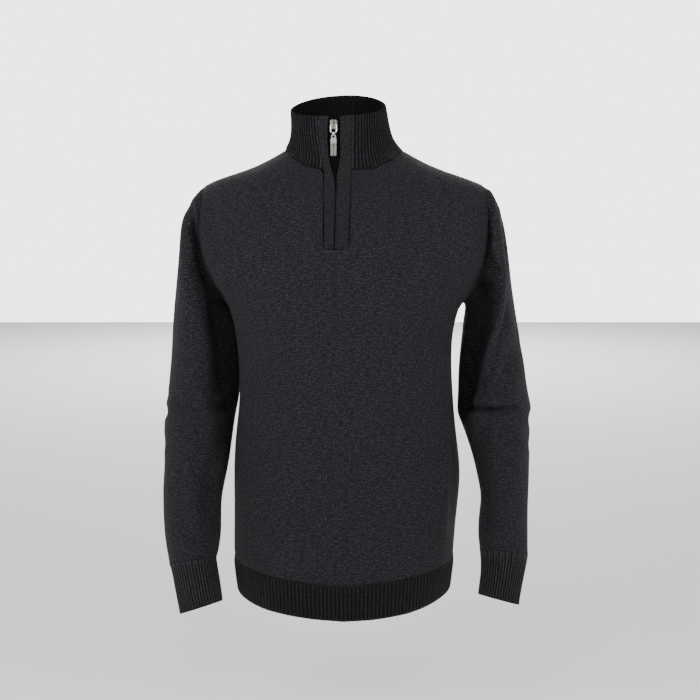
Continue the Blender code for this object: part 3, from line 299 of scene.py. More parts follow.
@dataclass(frozen=True)
class Knit:
    """Fine marl knit of dark wool, drawn stitch by stitch on the UV map, in metres."""

    name: str
    base: Colour = (0.0083, 0.0090, 0.0113, 1.0)
    shade: Colour = (0.0022, 0.0025, 0.0035, 1.0)
    fleck: Colour = (0.060, 0.062, 0.069, 1.0)
    fleck_share: float = 0.66
    wale: float = 0.0019           # width of a column of stitches
    course: float = 0.0014         # height of a row of stitches
    depth: float = 0.00045         # how proud a yarn stands
    stray: float = 5.0             # how many stitches the rows and columns wander
    ladder: float = 0.0            # pitch of cross ribs, 0 for none
    ribbed: bool = False
    trough: tuple[float, float] = (0.36, 0.62)   # heights between which a rib comes into shade

    def material(self) -> bpy.types.Material:
        """Build the finish.

        Returns:
            The knit's material.
        """
        shader = Shader(self.name)
        calc = shader.math
        cloth = shader.on_cloth()
        across, along, _ = shader.split(cloth)
        stray = shader.noise(cloth, (55.0, 75.0, 1.0), 3.0)
        stitch = self.stitch(
            shader,
            calc("ADD", across, calc("MULTIPLY", stray, self.stray * self.wale)),
            calc("ADD", along, calc("MULTIPLY", stray, -self.stray * self.course)))
        colour = self.marl(shader, cloth, stitch)
        if self.ladder > 0.0:
            rung = calc("FRACT", calc("DIVIDE", along, self.ladder))
            rung = shader.spread(calc("ABSOLUTE", calc("SUBTRACT", rung, 0.5)), 0.05, 0.34)
            # painted shade in the grooves between the cross ribs
            colour = shader.mix(calc("MULTIPLY", rung, 0.42), colour, self.shade)
            stitch = calc("SUBTRACT", stitch, calc("MULTIPLY", rung, 1.2))
        if self.ribbed:
            lift = shader.node("ShaderNodeAttribute", attribute_name="rib").outputs["Fac"]
            # painted shade: the troughs between the ribs are mixed towards a darker shade
            trough = calc("SUBTRACT", 1.0, shader.spread(lift, *self.trough))
            colour = shader.mix(calc("MULTIPLY", trough, 0.95), colour, darker(self.shade, 0.4))
        shader.dress({"Base Color": colour, "Roughness": 0.94, "Specular IOR Level": 0.22,
                      "Sheen Weight": 0.05, "Sheen Roughness": 0.45,
                      "Sheen Tint": (0.42, 0.43, 0.46, 1.0)})
        shader.bump(stitch, self.depth, 0.85)
        return shader.material

    def stitch(self, shader: Shader, across: Socket, along: Socket) -> Socket:
        """Height of the knit's V-shaped stitches.

        Args:
            shader: The material being built.
            across: Distance across the wales, in metres.
            along: Distance along the wales, in metres.

        Returns:
            The height's socket, 0 between stitches and 1 on a yarn.
        """
        calc = shader.math
        place = calc("FRACT", calc("DIVIDE", across, self.wale))
        leg = calc("ABSOLUTE", calc("SUBTRACT", place, 0.5))
        off = calc("MULTIPLY", calc("SUBTRACT", leg, 0.25), 4.0)
        round_leg = calc("SUBTRACT", 1.0, calc("MULTIPLY", off, off))
        rise = calc("ADD", calc("DIVIDE", along, self.course), calc("MULTIPLY", leg, 1.3))
        loop = calc("COSINE", calc("MULTIPLY", rise, 2.0 * math.pi))
        loop = calc("ADD", calc("MULTIPLY", loop, 0.32), 0.68)
        return calc("MULTIPLY", round_leg, loop, clamp=True)

    def marl(self, shader: Shader, cloth: Socket, stitch: Socket) -> Socket:
        """Colour of the mixed light and dark yarns, with painted shade in the hollows between
        stitches.

        Args:
            shader: The material being built.
            cloth: The UV map's coordinates.
            stitch: Height of the stitches.

        Returns:
            The colour's socket.
        """
        calc = shader.math
        fine = shader.noise(cloth, (540.0, 800.0, 1.0), 1.5)
        rows = shader.noise(cloth, (150.0, 500.0, 1.0), 2.0)
        cloud = shader.noise(cloth, (26.0, 40.0, 1.0), 3.0)
        share = calc("MULTIPLY", shader.spread(fine, 0.42, 0.60), self.fleck_share)
        share = calc("MULTIPLY", share, calc("ADD", shader.spread(rows, 0.38, 0.62), 0.40))
        tone = shader.mix(shader.spread(cloud, 0.30, 0.70), self.base, darker(self.base, 0.86))
        tone = shader.mix(share, tone, self.fleck)
        # painted shade: the hollows between the stitches are mixed towards the shade colour
        hollow = calc("MULTIPLY", calc("SUBTRACT", 1.0, stitch), 0.36)
        return shader.mix(hollow, tone, self.shade)


@dataclass(frozen=True)
class Tape:
    """Black woven zip tape in a fine herringbone."""

    name: str = "woven tape"
    base: Colour = (0.0012, 0.0012, 0.0014, 1.0)
    # lighter colour of the raised threads: painted highlight on the twill
    light: Colour = (0.0040, 0.0040, 0.0044, 1.0)
    pitch: float = 0.0009

    def material(self) -> bpy.types.Material:
        """Build the finish.

        Returns:
            The tape's material.
        """
        shader = Shader(self.name)
        calc = shader.math
        across, along, _ = shader.split(shader.on_cloth())
        run = calc("ADD", along, calc("PINGPONG", across, 2.0 * self.pitch))
        twill = calc("SINE", calc("MULTIPLY", run, 2.0 * math.pi / self.pitch))
        height = calc("ADD", calc("MULTIPLY", twill, 0.5), 0.5)
        # painted highlight: the twill's raised threads are mixed towards the lighter colour
        shader.dress({"Base Color": shader.mix(height, self.base, self.light),
                      "Roughness": 0.8, "Specular IOR Level": 0.10})
        shader.bump(height, 0.00015, 0.7)
        return shader.material


@dataclass(frozen=True)
class Metal:
    """Plated zip metal with fine brush lines, dark patches of painted reflection and, where given,
    a worn strip and a painted highlight on its top.
    """

    name: str
    base: Colour
    gloss: float                          # roughness of the smoothest parts
    brush: Spot                           # brush lines to the metre along each direction
    highlight_above: float | None = None   # height above which a highlight is painted
    bare: float = 1.0                     # share of bare metal
    strip: float | None = None            # place across of a worn brownish strip

    def material(self) -> bpy.types.Material:
        """Build the finish.

        Returns:
            The metal's material.
        """
        shader = Shader(self.name)
        calc = shader.math
        place = shader.on_object()
        across, _, up = shader.split(place)
        lines = shader.noise(place, self.brush, 3.0)
        # dark patches: painted reflection
        reflection_patches = shader.noise(place, (190.0, 190.0, 190.0), 2.0)
        dark = darker(self.base, 0.42)
        tone = shader.mix(calc("MULTIPLY", shader.spread(reflection_patches, 0.44, 0.66), 0.65), self.base, dark)
        if self.strip is not None:
            away = calc("ABSOLUTE", calc("SUBTRACT", across, self.strip))
            worn = calc("SUBTRACT", 1.0, shader.spread(away, 0.0005, 0.0019))
            tone = shader.mix(calc("MULTIPLY", worn, 0.75), tone, (0.20, 0.165, 0.13, 1.0))
        # painted highlight on the top, and the rest painted darker beneath it
        if self.highlight_above is not None:
            top_highlight = shader.spread(up, self.highlight_above, self.highlight_above + 0.0012)
            tone = shader.mix(top_highlight, shader.mix(0.35, tone, dark), (0.94, 0.91, 0.87, 1.0))
        shader.dress({"Base Color": tone, "Metallic": self.bare,
                      "Roughness": calc("ADD", self.gloss, calc("MULTIPLY", lines, 0.16))})
        shader.bump(lines, 0.00004, 0.5)
        return shader.material


# ---- creases
@dataclass(frozen=True)
class Crease:
    """One crease, its line laid out across and up as seen from the front.

    On cloth that faces sideways the line is laid out along the depth and up instead. A roll is
    steep on the side to the left of its line's direction and soft on the other.
    """

    path: tuple[tuple[float, float], ...]
    width: float                     # half its width
    rise: float                      # its height, or a valley's depth
    form: Form = Form.VALLEY
    facing: Facing = Facing.FRONT
    fade: float = 0.5                # how softly it ends, 0 for a blunt end
    lip: float = 0.35                # share of a valley's depth that swells up beside it

    def offsets(self, points: Array, normals: Array) -> Array:
        """How far each point moves along its normal.

        Args:
            points: Rows of x, y, z.
            normals: Their directions.

        Returns:
            One distance for each point.
        """
        axis, sign = self.facing.value
        seen = seen_from_front(points) if axis == 1 else points[:, 1:]
        line = nearest_on_line(seen, np.array(self.path))
        left = np.sign(line.step[:, 0] * line.gap[:, 1] - line.step[:, 1] * line.gap[:, 0])
        share = (line.start + np.clip(line.t, 0.0, 1.0) * line.size) / line.total
        fade = np.clip(np.sin(np.pi * np.clip(share, 0.03, 0.97)), 0.0, 1.0) ** self.fade
        looks = smooth_step(0.02, 0.40, sign * normals[:, axis])
        return self.section(line.away, left * line.away) * fade * looks * self.rise

    def section(self, away: Array, signed: Array) -> Array:
        """Height of the crease across its line.

        Args:
            away: Distance from the line.
            signed: The same, positive on its left side.

        Returns:
            Heights, 1 on the line of a ridge and -1 on that of a valley.
        """
        if self.form is Form.RIDGE:
            return np.exp(-(away / self.width) ** 2)
        if self.form is Form.ROLL:
            width = np.where(signed > 0.0, 0.45 * self.width, 1.6 * self.width)
            return np.exp(-(away / width) ** 2)
        lip = self.lip * np.exp(-((away - 1.9 * self.width) / self.width) ** 2)
        return lip - np.exp(-(away / self.width) ** 2)


@dataclass
class Nearest:
    """For each of many points, the leg of a line that is nearest."""

    away: Array   # distance from the line
    gap: Array    # the same as a vector
    step: Array   # the leg, from its start to its end
    size: Array   # the leg's length
    start: Array  # distance along the line to the leg's start
    t: Array      # place on the leg, 0 at its start and 1 at its end, or beyond
    total: float  # the whole line's length


def lengths(marks: Array) -> Array:
    """Distance along a line to each of its corners."""
    return np.concatenate([[0.0], np.cumsum(np.linalg.norm(np.diff(marks, axis=0), axis=1))])


def nearest_on_line(points: Array, marks: Array) -> Nearest:
    """Find the nearest leg of a line for each point.

    Args:
        points: Rows of coordinates.
        marks: The line's corners, in the same coordinates.

    Returns:
        What lies nearest to each point.
    """
    run = lengths(marks)
    count = len(points)
    found = Nearest(np.full(count, np.inf), np.zeros_like(points), np.zeros_like(points),
                    np.zeros(count), np.zeros(count), np.zeros(count), run[-1])
    for begin, end, start in zip(marks[:-1], marks[1:], run):
        step = end - begin
        size = np.linalg.norm(step)
        t = (points - begin) @ step / size ** 2
        gap = points - (begin + np.clip(t, 0.0, 1.0)[:, None] * step)
        away = np.linalg.norm(gap, axis=1)
        near = away < found.away
        found.away[near], found.gap[near], found.t[near] = away[near], gap[near], t[near]
        found.step[near], found.size[near], found.start[near] = step, size, start
    return found


def smooth_step(low: float, high: float, value: Array) -> Array:
    """0 below low, 1 above high and smooth between."""
    t = np.clip((value - low) / (high - low), 0.0, 1.0)
    return t * t * (3.0 - 2.0 * t)


def sewn_share(height: Array) -> Array:
    """How marked the bands' sewn edges are: full low down, fainter near the collar."""
    return 0.30 + 0.70 * smooth_step(-0.075, -0.105, height)


def seen_from_front(points: Array) -> Array:
    """Across and up of points, carried along the line of sight to the side seams' plane.

    Args:
        points: Rows of x, y, z.

    Returns:
        Rows of across, up.
    """
    scale = -EYE.y / (points[:, 1] - EYE.y)
    across = EYE.x + (points[:, 0] - EYE.x) * scale
    up = EYE.z + (points[:, 2] - EYE.z) * scale
    return np.stack([across, up], axis=1)


def turned(way: Facing, *creases: Crease) -> tuple[Crease, ...]:
    """The same creases on cloth that faces another way."""
    return tuple(replace(crease, facing=way) for crease in creases)


# Each crease: its line, its width, its rise, and its form where it isn't a valley.
FRONT_CREASES = (
    Crease(((0.1492, -0.2983), (0.1537, -0.343), (0.1552, -0.4176), (0.1552, -0.4922),
           (0.1537, -0.5817)), 0.0065, 0.003, Form.ROLL),
    Crease(((0.1626, -0.3132), (0.164, -0.3728), (0.165, -0.4325), (0.165, -0.5071),
           (0.162, -0.5742)), 0.007, 0.0045),
    Crease(((-0.176, -0.22), (-0.156, -0.198), (-0.13, -0.178)), 0.012, 0.0045),
    Crease(((0.172, -0.2), (0.156, -0.186), (0.13, -0.17)), 0.011, 0.004),
    Crease(((-0.202, -0.08), (-0.196, -0.12), (-0.186, -0.155)), 0.0085, 0.0034),
    Crease(((0.2, -0.085), (0.19, -0.125), (0.18, -0.16)), 0.009, 0.003, Form.RIDGE),
    Crease(((-0.1461, -0.2834), (-0.1491, -0.3728), (-0.1476, -0.4623), (-0.1491, -0.5667)), 0.015,
           0.0016, Form.RIDGE),
    Crease(((-0.15, -0.545), (-0.105, -0.554), (-0.05, -0.55)), 0.013, 0.0013),
    Crease(((0.145, -0.555), (0.09, -0.565), (0.03, -0.562)), 0.012, 0.0012),
    Crease(((-0.085, -0.25), (-0.045, -0.33), (-0.035, -0.42)), 0.026, 0.0014),
    Crease(((0.07, -0.24), (0.048, -0.33), (0.052, -0.44)), 0.03, 0.0013),
    Crease(((-0.1, -0.035), (-0.145, -0.06), (-0.185, -0.085)), 0.012, 0.0013, Form.RIDGE),
)
BACK_CREASES = turned(
    Facing.BACK,
    Crease(((-0.15, -0.25), (-0.12, -0.225), (-0.09, -0.175)), 0.012, 0.0026),
    Crease(((0.145, -0.245), (0.118, -0.215), (0.095, -0.17)), 0.013, 0.0023),
    Crease(((-0.13, -0.37), (-0.06, -0.386), (0.015, -0.38)), 0.011, 0.0022),
    Crease(((0.138, -0.402), (0.08, -0.416), (0.01, -0.408)), 0.012, 0.0025),
    Crease(((-0.14, -0.438), (-0.08, -0.45), (-0.025, -0.445)), 0.013, 0.0018),
    Crease(((-0.04, -0.12), (-0.036, -0.22), (-0.045, -0.32)), 0.02, 0.0015),
    Crease(((0.05, -0.14), (0.043, -0.23), (0.048, -0.33)), 0.022, 0.0014),
    Crease(((0.135, -0.52), (0.07, -0.532), (0.01, -0.529)), 0.014, 0.0016),
)
RIGHT_SLEEVE_CREASES = (
    Crease(((0.188, -0.3818), (0.1947, -0.346), (0.2104, -0.3087), (0.2297, -0.2565),
           (0.2357, -0.2222), (0.2357, -0.1804), (0.2268, -0.1461), (0.2208, -0.1029),
           (0.2118, -0.0656), (0.202, -0.056)), 0.0072, 0.0105, Form.ROLL, fade=0.25),
    Crease(((0.2185, -0.095), (0.216, -0.13), (0.211, -0.16), (0.212, -0.18)), 0.011, 0.005,
           Form.RIDGE, fade=0.3),
    Crease(((0.19, -0.148), (0.196, -0.164), (0.201, -0.185), (0.201, -0.21)), 0.0065, 0.011,
           fade=0.3, lip=0.0),
    Crease(((0.21, -0.206), (0.209, -0.235), (0.202, -0.268), (0.191, -0.313), (0.183, -0.358),
           (0.177, -0.38)), 0.0185, 0.024, fade=0.15, lip=0.0),
    Crease(((0.24, -0.1), (0.246, -0.15), (0.249, -0.19), (0.245, -0.235), (0.237, -0.27),
           (0.227, -0.305), (0.216, -0.34), (0.207, -0.37)), 0.0075, 0.008, fade=0.3, lip=0.0),
    Crease(((0.184, -0.384), (0.207, -0.389), (0.223, -0.391), (0.24, -0.389), (0.2536, -0.3848)),
           0.006, 0.0115, fade=0.3, lip=0.2),
    Crease(((0.19, -0.376), (0.212, -0.38), (0.235, -0.378), (0.258, -0.376)), 0.0065, 0.004,
           Form.RIDGE, fade=0.4),
    Crease(((0.2178, -0.3922), (0.2089, -0.4146), (0.2044, -0.44), (0.2118, -0.4847),
           (0.2163, -0.5369), (0.2133, -0.5891)), 0.0095, 0.0075),
    Crease(((0.2506, -0.2908), (0.2447, -0.3281), (0.2327, -0.3609), (0.2208, -0.3788)), 0.01,
           0.006),
    Crease(((0.2655, -0.4027), (0.2596, -0.4474), (0.2506, -0.5071), (0.2447, -0.5667)), 0.012,
           0.0036, Form.RIDGE),
    Crease(((0.235, -0.41), (0.242, -0.43), (0.256, -0.442)), 0.008, 0.0035),
    Crease(((0.215, -0.556), (0.23, -0.565), (0.248, -0.561)), 0.008, 0.0026),
) + turned(
    Facing.BACK,
    Crease(((0.195, -0.37), (0.215, -0.378), (0.25, -0.37)), 0.008, 0.0065),
    Crease(((0.19, -0.398), (0.21, -0.408), (0.235, -0.406)), 0.009, 0.0055),
    Crease(((0.18, -0.2), (0.202, -0.245), (0.23, -0.275)), 0.012, 0.006),
    Crease(((0.245, -0.12), (0.24, -0.2), (0.225, -0.29)), 0.013, 0.005),
    Crease(((0.225, -0.47), (0.235, -0.52), (0.23, -0.57)), 0.011, 0.004),
) + turned(
    Facing.TO_RIGHT,
    Crease(((0.03, -0.39), (0.01, -0.396), (-0.015, -0.4)), 0.007, 0.004),
    Crease(((0.025, -0.43), (0.005, -0.438), (-0.025, -0.436)), 0.008, 0.003),
)
LEFT_SLEEVE_CREASES = (
    Crease(((-0.2356, -0.0969), (-0.2386, -0.164), (-0.2416, -0.2386), (-0.2431, -0.3132)), 0.012,
           0.0036, Form.RIDGE),
    Crease(((-0.229, -0.085), (-0.224, -0.125), (-0.215, -0.158), (-0.205, -0.183), (-0.19, -0.2)),
           0.006, 0.0115, fade=0.4, lip=0.15),
    Crease(((-0.208, -0.165), (-0.196, -0.198), (-0.185, -0.23), (-0.181, -0.28), (-0.179, -0.33),
           (-0.179, -0.37)), 0.019, 0.019, fade=0.3, lip=0.0),
    Crease(((-0.215, -0.19), (-0.206, -0.21), (-0.199, -0.235)), 0.0075, 0.0045, Form.RIDGE),
    Crease(((-0.208, -0.25), (-0.202, -0.3), (-0.196, -0.35)), 0.009, 0.0036, Form.RIDGE),
    Crease(((-0.161, -0.3758), (-0.1759, -0.3848), (-0.1938, -0.3848)), 0.007, 0.007, fade=0.35),
    Crease(((-0.1789, -0.3997), (-0.1819, -0.425), (-0.1909, -0.4504)), 0.01, 0.008),
    Crease(((-0.2356, -0.4176), (-0.2326, -0.4773), (-0.2267, -0.5369), (-0.2237, -0.5891)), 0.013,
           0.0034, Form.RIDGE),
    Crease(((-0.26, -0.37), (-0.24, -0.382), (-0.22, -0.38)), 0.008, 0.0036),
    Crease(((-0.242, -0.57), (-0.225, -0.578), (-0.2, -0.572)), 0.009, 0.0028),
    Crease(((-0.2, -0.47), (-0.205, -0.52), (-0.2, -0.57)), 0.011, 0.0045),
) + turned(
    Facing.BACK,
    Crease(((-0.18, -0.37), (-0.205, -0.38), (-0.24, -0.372)), 0.009, 0.0065),
    Crease(((-0.185, -0.405), (-0.21, -0.412), (-0.23, -0.408)), 0.009, 0.005),
    Crease(((-0.175, -0.21), (-0.198, -0.25), (-0.23, -0.285)), 0.012, 0.006),
    Crease(((-0.235, -0.13), (-0.23, -0.2), (-0.215, -0.28)), 0.013, 0.005),
    Crease(((-0.215, -0.46), (-0.225, -0.52), (-0.22, -0.58)), 0.011, 0.0038),
) + turned(
    Facing.TO_RIGHT,
    Crease(((-0.01, -0.195), (-0.005, -0.218), (0.0, -0.242), (0.0, -0.27), (-0.002, -0.3)), 0.026,
           0.0115, Form.RIDGE, fade=0.2),
) + turned(
    Facing.TO_LEFT,
    Crease(((0.03, -0.386), (0.01, -0.392), (-0.015, -0.39)), 0.007, 0.004),
    Crease(((0.03, -0.425), (0.005, -0.43), (-0.02, -0.435)), 0.008, 0.0032),
)


# ---- cloth
@dataclass
class ClothPiece:
    """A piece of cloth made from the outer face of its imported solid."""

    node: str
    finish: Knit | Tape
    slot: str
    flat: tuple[float, float]
    area: float
    levels: int = 3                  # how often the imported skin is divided
    wall: float = 0.0020             # the cloth's thickness
    core: Spot | None = None         # a point that it lies around, or None for its own middle
    creases: tuple[Crease, ...] = ()
    rests_on: tuple[str, ...] = ()

    rim_depth = 0.0050               # a face with no wall this close behind it is a rim
    far_wall = -0.50                 # how squarely that wall has to face away
    sharp = math.radians(60.0)       # edges sharper than this part the wall from its rims
    hush = (0.0005, 0.0090)          # distances from an edge over which creases fade in
    body_half = (0.165, 0.120)       # half the body's width and depth
    body_radius = 0.145              # radius of the same girth
    lean = (-0.20, -0.06)            # heights over which the cloth leans in to the shoulders
    lean_share = 0.35                # and how much further it then runs, for its depth
    wave_rise = 0.0007               # half height of the slow waves

    def build(self, nodes: dict[str, Object]) -> Object:
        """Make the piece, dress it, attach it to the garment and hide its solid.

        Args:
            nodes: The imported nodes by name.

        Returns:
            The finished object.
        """
        skin = self.outer_face(nodes[self.node])
        self.prepare(skin)
        mesh = self.smoothed(skin)
        self.settle(mesh)
        self.lay_out(mesh)
        mesh.shade_smooth()
        piece = stand(self.node + "_cloth", mesh)
        thick = piece.modifiers.new("wall", "SOLIDIFY")
        thick.thickness = self.wall
        thick.offset = -1.0
        thick.use_even_offset = True
        mesh.materials.clear()
        mesh.materials.append(self.finish.material())
        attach(piece, GARMENT)
        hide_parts(self.node)
        LOG.info("%s: %d faces", piece.name, len(mesh.polygons))
        return piece

    def outer_face(self, solid: Object) -> BMesh:
        """The solid's outer wall alone, as quads.

        Args:
            solid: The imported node.

        Returns:
            An open bmesh.
        """
        skin = bmesh.new()
        skin.from_mesh(solid.data)
        bmesh.ops.remove_doubles(skin, verts=skin.verts, dist=0.000002)
        tree = BVHTree.FromBMesh(skin)
        rims = []
        for face in skin.faces:
            start = face.calc_center_median() - face.normal * 0.00002
            hit = tree.ray_cast(start, -face.normal, self.rim_depth)
            if hit[0] is None or hit[1].dot(face.normal) > self.far_wall:
                rims.append(face)
        bmesh.ops.delete(skin, geom=rims, context="FACES")
        if self.core is None:
            core = sum((v.co for v in skin.verts), Vector()) / len(skin.verts)
        else:
            core = Vector(self.core)
        kept = set(max(self.islands(skin), key=lambda faces: sum(
            face.calc_area() * face.normal.dot((face.calc_center_median() - core).normalized())
            for face in faces)))
        bmesh.ops.delete(skin, geom=[f for f in skin.faces if f not in kept], context="FACES")
        bmesh.ops.join_triangles(skin, faces=skin.faces, angle_face_threshold=math.radians(50.0),
                                 angle_shape_threshold=math.radians(80.0))
        return skin

    def islands(self, skin: BMesh) -> list[list[bmesh.types.BMFace]]:
        """Groups of faces that hang together without a sharp edge between.

        Args:
            skin: The faces to sort.

        Returns:
            One list of faces for each group.
        """
        groups = []
        seen: set[bmesh.types.BMFace] = set()
        for first in skin.faces:
            if first in seen:
                continue
            group = []
            waiting = [first]
            seen.add(first)
            while waiting:
                face = waiting.pop()
                group.append(face)
                for edge in face.edges:
                    if edge.calc_face_angle(0.0) > self.sharp:
                        continue
                    for other in edge.link_faces:
                        if other not in seen:
                            seen.add(other)
                            waiting.append(other)
            groups.append(group)
        return groups

    def prepare(self, skin: BMesh) -> None:
        """Change the coarse skin before it is smoothed."""

    def smoothed(self, skin: BMesh) -> Mesh:
        """Divide the skin into a fine smooth mesh.

        Args:
            skin: The coarse skin, which is used up.

        Returns:
            The fine mesh.
        """
        coarse = finished_mesh(self.node + "_coarse", skin)
        holder = stand(coarse.name, coarse)
        divide = holder.modifiers.new("divide", "SUBSURF")
        divide.levels = self.levels
        divide.render_levels = self.levels
        divide.boundary_smooth = "PRESERVE_CORNERS"
        bpy.context.view_layer.update()
        seen = bpy.context.evaluated_depsgraph_get()
        fine = bpy.data.meshes.new_from_object(holder.evaluated_get(seen))
        bpy.data.objects.remove(holder)
        bpy.data.meshes.remove(coarse)
        fine.name = self.node + "_cloth"
        return fine

    def settle(self, mesh: Mesh) -> None:
        """Move the fine mesh's points into its creases and close its seams.

        Args:
            mesh: The fine mesh.
        """
        points = coordinates(mesh)
        normals = directions(mesh)
        edge, inside = border(mesh)
        fade = smooth_step(*self.hush, distances(points, points[edge]))
        moved = points.copy()
        for crease in self.creases:
            moved += (crease.offsets(points, normals) * fade)[:, None] * normals
        moved += self.drape(points, normals) * fade[:, None]
        moved += self.seam_pull(points, edge)
        out = points[edge] - inside
        size = np.maximum(np.linalg.norm(out, axis=1, keepdims=True), TINY)
        moved[edge] += self.let_out(points[edge])[:, None] * out / size
        mesh.vertices.foreach_set("co", moved.astype(np.float32).ravel())
        mesh.update()

    def drape(self, points: Array, normals: Array) -> Array:
        """Slow uneven waves of cloth that hangs.

        Args:
            points: The mesh's points.
            normals: Their directions.

        Returns:
            How far each point moves.
        """
        x, y, z = points.T
        wave = np.sin(23.0 * x + 9.0 * z + 1.3) * np.cos(17.0 * z - 11.0 * y + 0.6)
        wave += 0.6 * np.sin(41.0 * z + 13.0 * x - 2.1) * np.sin(29.0 * x + 0.4)
        return (self.wave_rise * wave)[:, None] * normals

    def seam_pull(self, points: Array, edge: Array) -> Array:
        """How a seam draws the cloth on both its sides in; none unless a piece says so."""
        return np.zeros_like(points)

    def let_out(self, edge: Array) -> Array:
        """How far each point of an edge is let out over the seam's gap."""
        return np.full(len(edge), SEAM_CLOSE)

    def place_on_cloth(self, points: Array) -> tuple[Array, Array, float]:
        """Where points lie on the flat cloth.

        Args:
            points: The mesh's points.

        Returns:
            Distance across, distance along, and the distance across after which it repeats,
            or 0 where the piece isn't closed round.
        """
        x, y, z = points.T
        face = -1.0 if y.mean() < 0.0 else 1.0
        turn = np.arctan2(x / self.body_half[0], face * y / self.body_half[1])
        run = self.lean_share * smooth_step(*self.lean, z) * (0.125 - np.abs(y))
        return self.body_radius * turn, z + run, 0.0

    def lay_out(self, mesh: Mesh) -> None:
        """Give the mesh its UV map, in metres on the flat cloth.

        Args:
            mesh: The fine mesh.
        """
        across, along, period = self.place_on_cloth(coordinates(mesh))
        corner = np.zeros(len(mesh.loops), np.int32)
        mesh.loops.foreach_get("vertex_index", corner)
        place = np.stack([across[corner], along[corner]], axis=1)
        if period > 0.0:
            starts = np.zeros(len(mesh.polygons), np.int32)
            mesh.polygons.foreach_get("loop_start", starts)
            highest = np.maximum.reduceat(place[:, 0], starts)
            counts = np.diff(np.append(starts, len(corner)))
            highest = np.repeat(highest, counts)
            place[:, 0] += period * (highest - place[:, 0] > 0.5 * period)
        for old in list(mesh.uv_layers):
            mesh.uv_layers.remove(old)
        layer = mesh.uv_layers.new(name="cloth")
        layer.data.foreach_set("uv", place.astype(np.float32).ravel())


def coordinates(mesh: Mesh) -> Array:
    """A mesh's points.

    Args:
        mesh: The mesh.

    Returns:
        Rows of x, y, z.
    """
    flat = np.zeros(len(mesh.vertices) * 3, np.float32)
    mesh.vertices.foreach_get("co", flat)
    return flat.reshape(-1, 3).astype(float)


def directions(mesh: Mesh) -> Array:
    """A mesh's normals.

    Args:
        mesh: The mesh.

    Returns:
        Rows of x, y, z.
    """
    flat = np.zeros(len(mesh.vertices) * 3, np.float32)
    mesh.vertex_normals.foreach_get("vector", flat)
    return flat.reshape(-1, 3).astype(float)


def distances(points: Array, marks: Array) -> Array:
    """Distance from each point to the nearest mark.

    Args:
        points: Rows of x, y, z.
        marks: The same.

    Returns:
        One distance for each point.
    """
    tree = KDTree(len(marks))
    for k, mark in enumerate(marks):
        tree.insert(Vector(mark), k)
    tree.balance()
    return np.array([tree.find(Vector(p))[2] for p in points])


def border(mesh: Mesh) -> tuple[Array, Array]:
    """The points on a mesh's open edges.

    Args:
        mesh: An open mesh.

    Returns:
        Their indices, and for each the middle of its neighbours inside.
    """
    used = np.zeros(len(mesh.loops), np.int32)
    mesh.loops.foreach_get("edge_index", used)
    count = np.bincount(used, minlength=len(mesh.edges))
    ends = np.zeros(len(mesh.edges) * 2, np.int32)
    mesh.edges.foreach_get("vertices", ends)
    ends = ends.reshape(-1, 2)
    rim = np.zeros(len(mesh.vertices), bool)
    rim[ends[count == 1].ravel()] = True
    points = coordinates(mesh)
    total = np.zeros_like(points)
    number = np.zeros(len(points))
    for a, b in ((0, 1), (1, 0)):
        near, far = ends[:, a], ends[:, b]
        pick = rim[near] & ~rim[far]
        np.add.at(total, near[pick], points[far[pick]])
        np.add.at(number, near[pick], 1.0)
    edge = np.nonzero(rim)[0]
    lonely = number[edge] == 0.0
    inside = total[edge] / np.maximum(number[edge], 1.0)[:, None]
    inside[lonely] = points[edge][lonely]
    return edge, inside


@dataclass(frozen=True)
class Armhole:
    """The armhole seams, which draw sleeve and body in alike, most at the front and back."""

    middle: float = -0.144                           # height of their middle
    foot: float = -0.2372                            # height of their foot
    across: float = 0.1690                           # least distance from the body's middle
    shoulder: float = -0.0500                        # the shoulder seam meets them above this
    shoulder_half: float = 0.0008                    # half the shoulder seam's width
    reach: float = 0.0070                            # how far from the seam cloth is drawn in
    depth: tuple[float, float] = (0.0008, 0.0002)    # how deep all round: left, right
    further: tuple[float, float] = (0.0075, 0.0003)  # and how much more at the front and back

    def pull(self, points: Array, edge: Array) -> Array:
        """Draw the cloth in beside the seam.

        Args:
            points: The mesh's points.
            edge: Indices of those on its open edges.

        Returns:
            How far each point moves.
        """
        x, y, z = points[edge].T
        shoulder = (np.abs(y) < self.shoulder_half) & (z > self.shoulder)
        seam = edge[(z > self.foot) & (np.abs(x) > self.across) & ~shoulder]
        if len(seam) == 0:
            return np.zeros_like(points)
        radial = points * np.array([0.0, 1.0, 1.0]) - np.array([0.0, 0.0, self.middle])
        radial /= np.maximum(np.linalg.norm(radial, axis=1, keepdims=True), TINY)
        left = points[:, 0] < 0.0
        deep = np.where(left, *self.depth)
        deep = deep + np.where(left, *self.further) * np.abs(radial[:, 1]) ** 1.5
        near = np.exp(-(distances(points, points[seam]) / self.reach) ** 2)
        return -(deep * near)[:, None] * radial


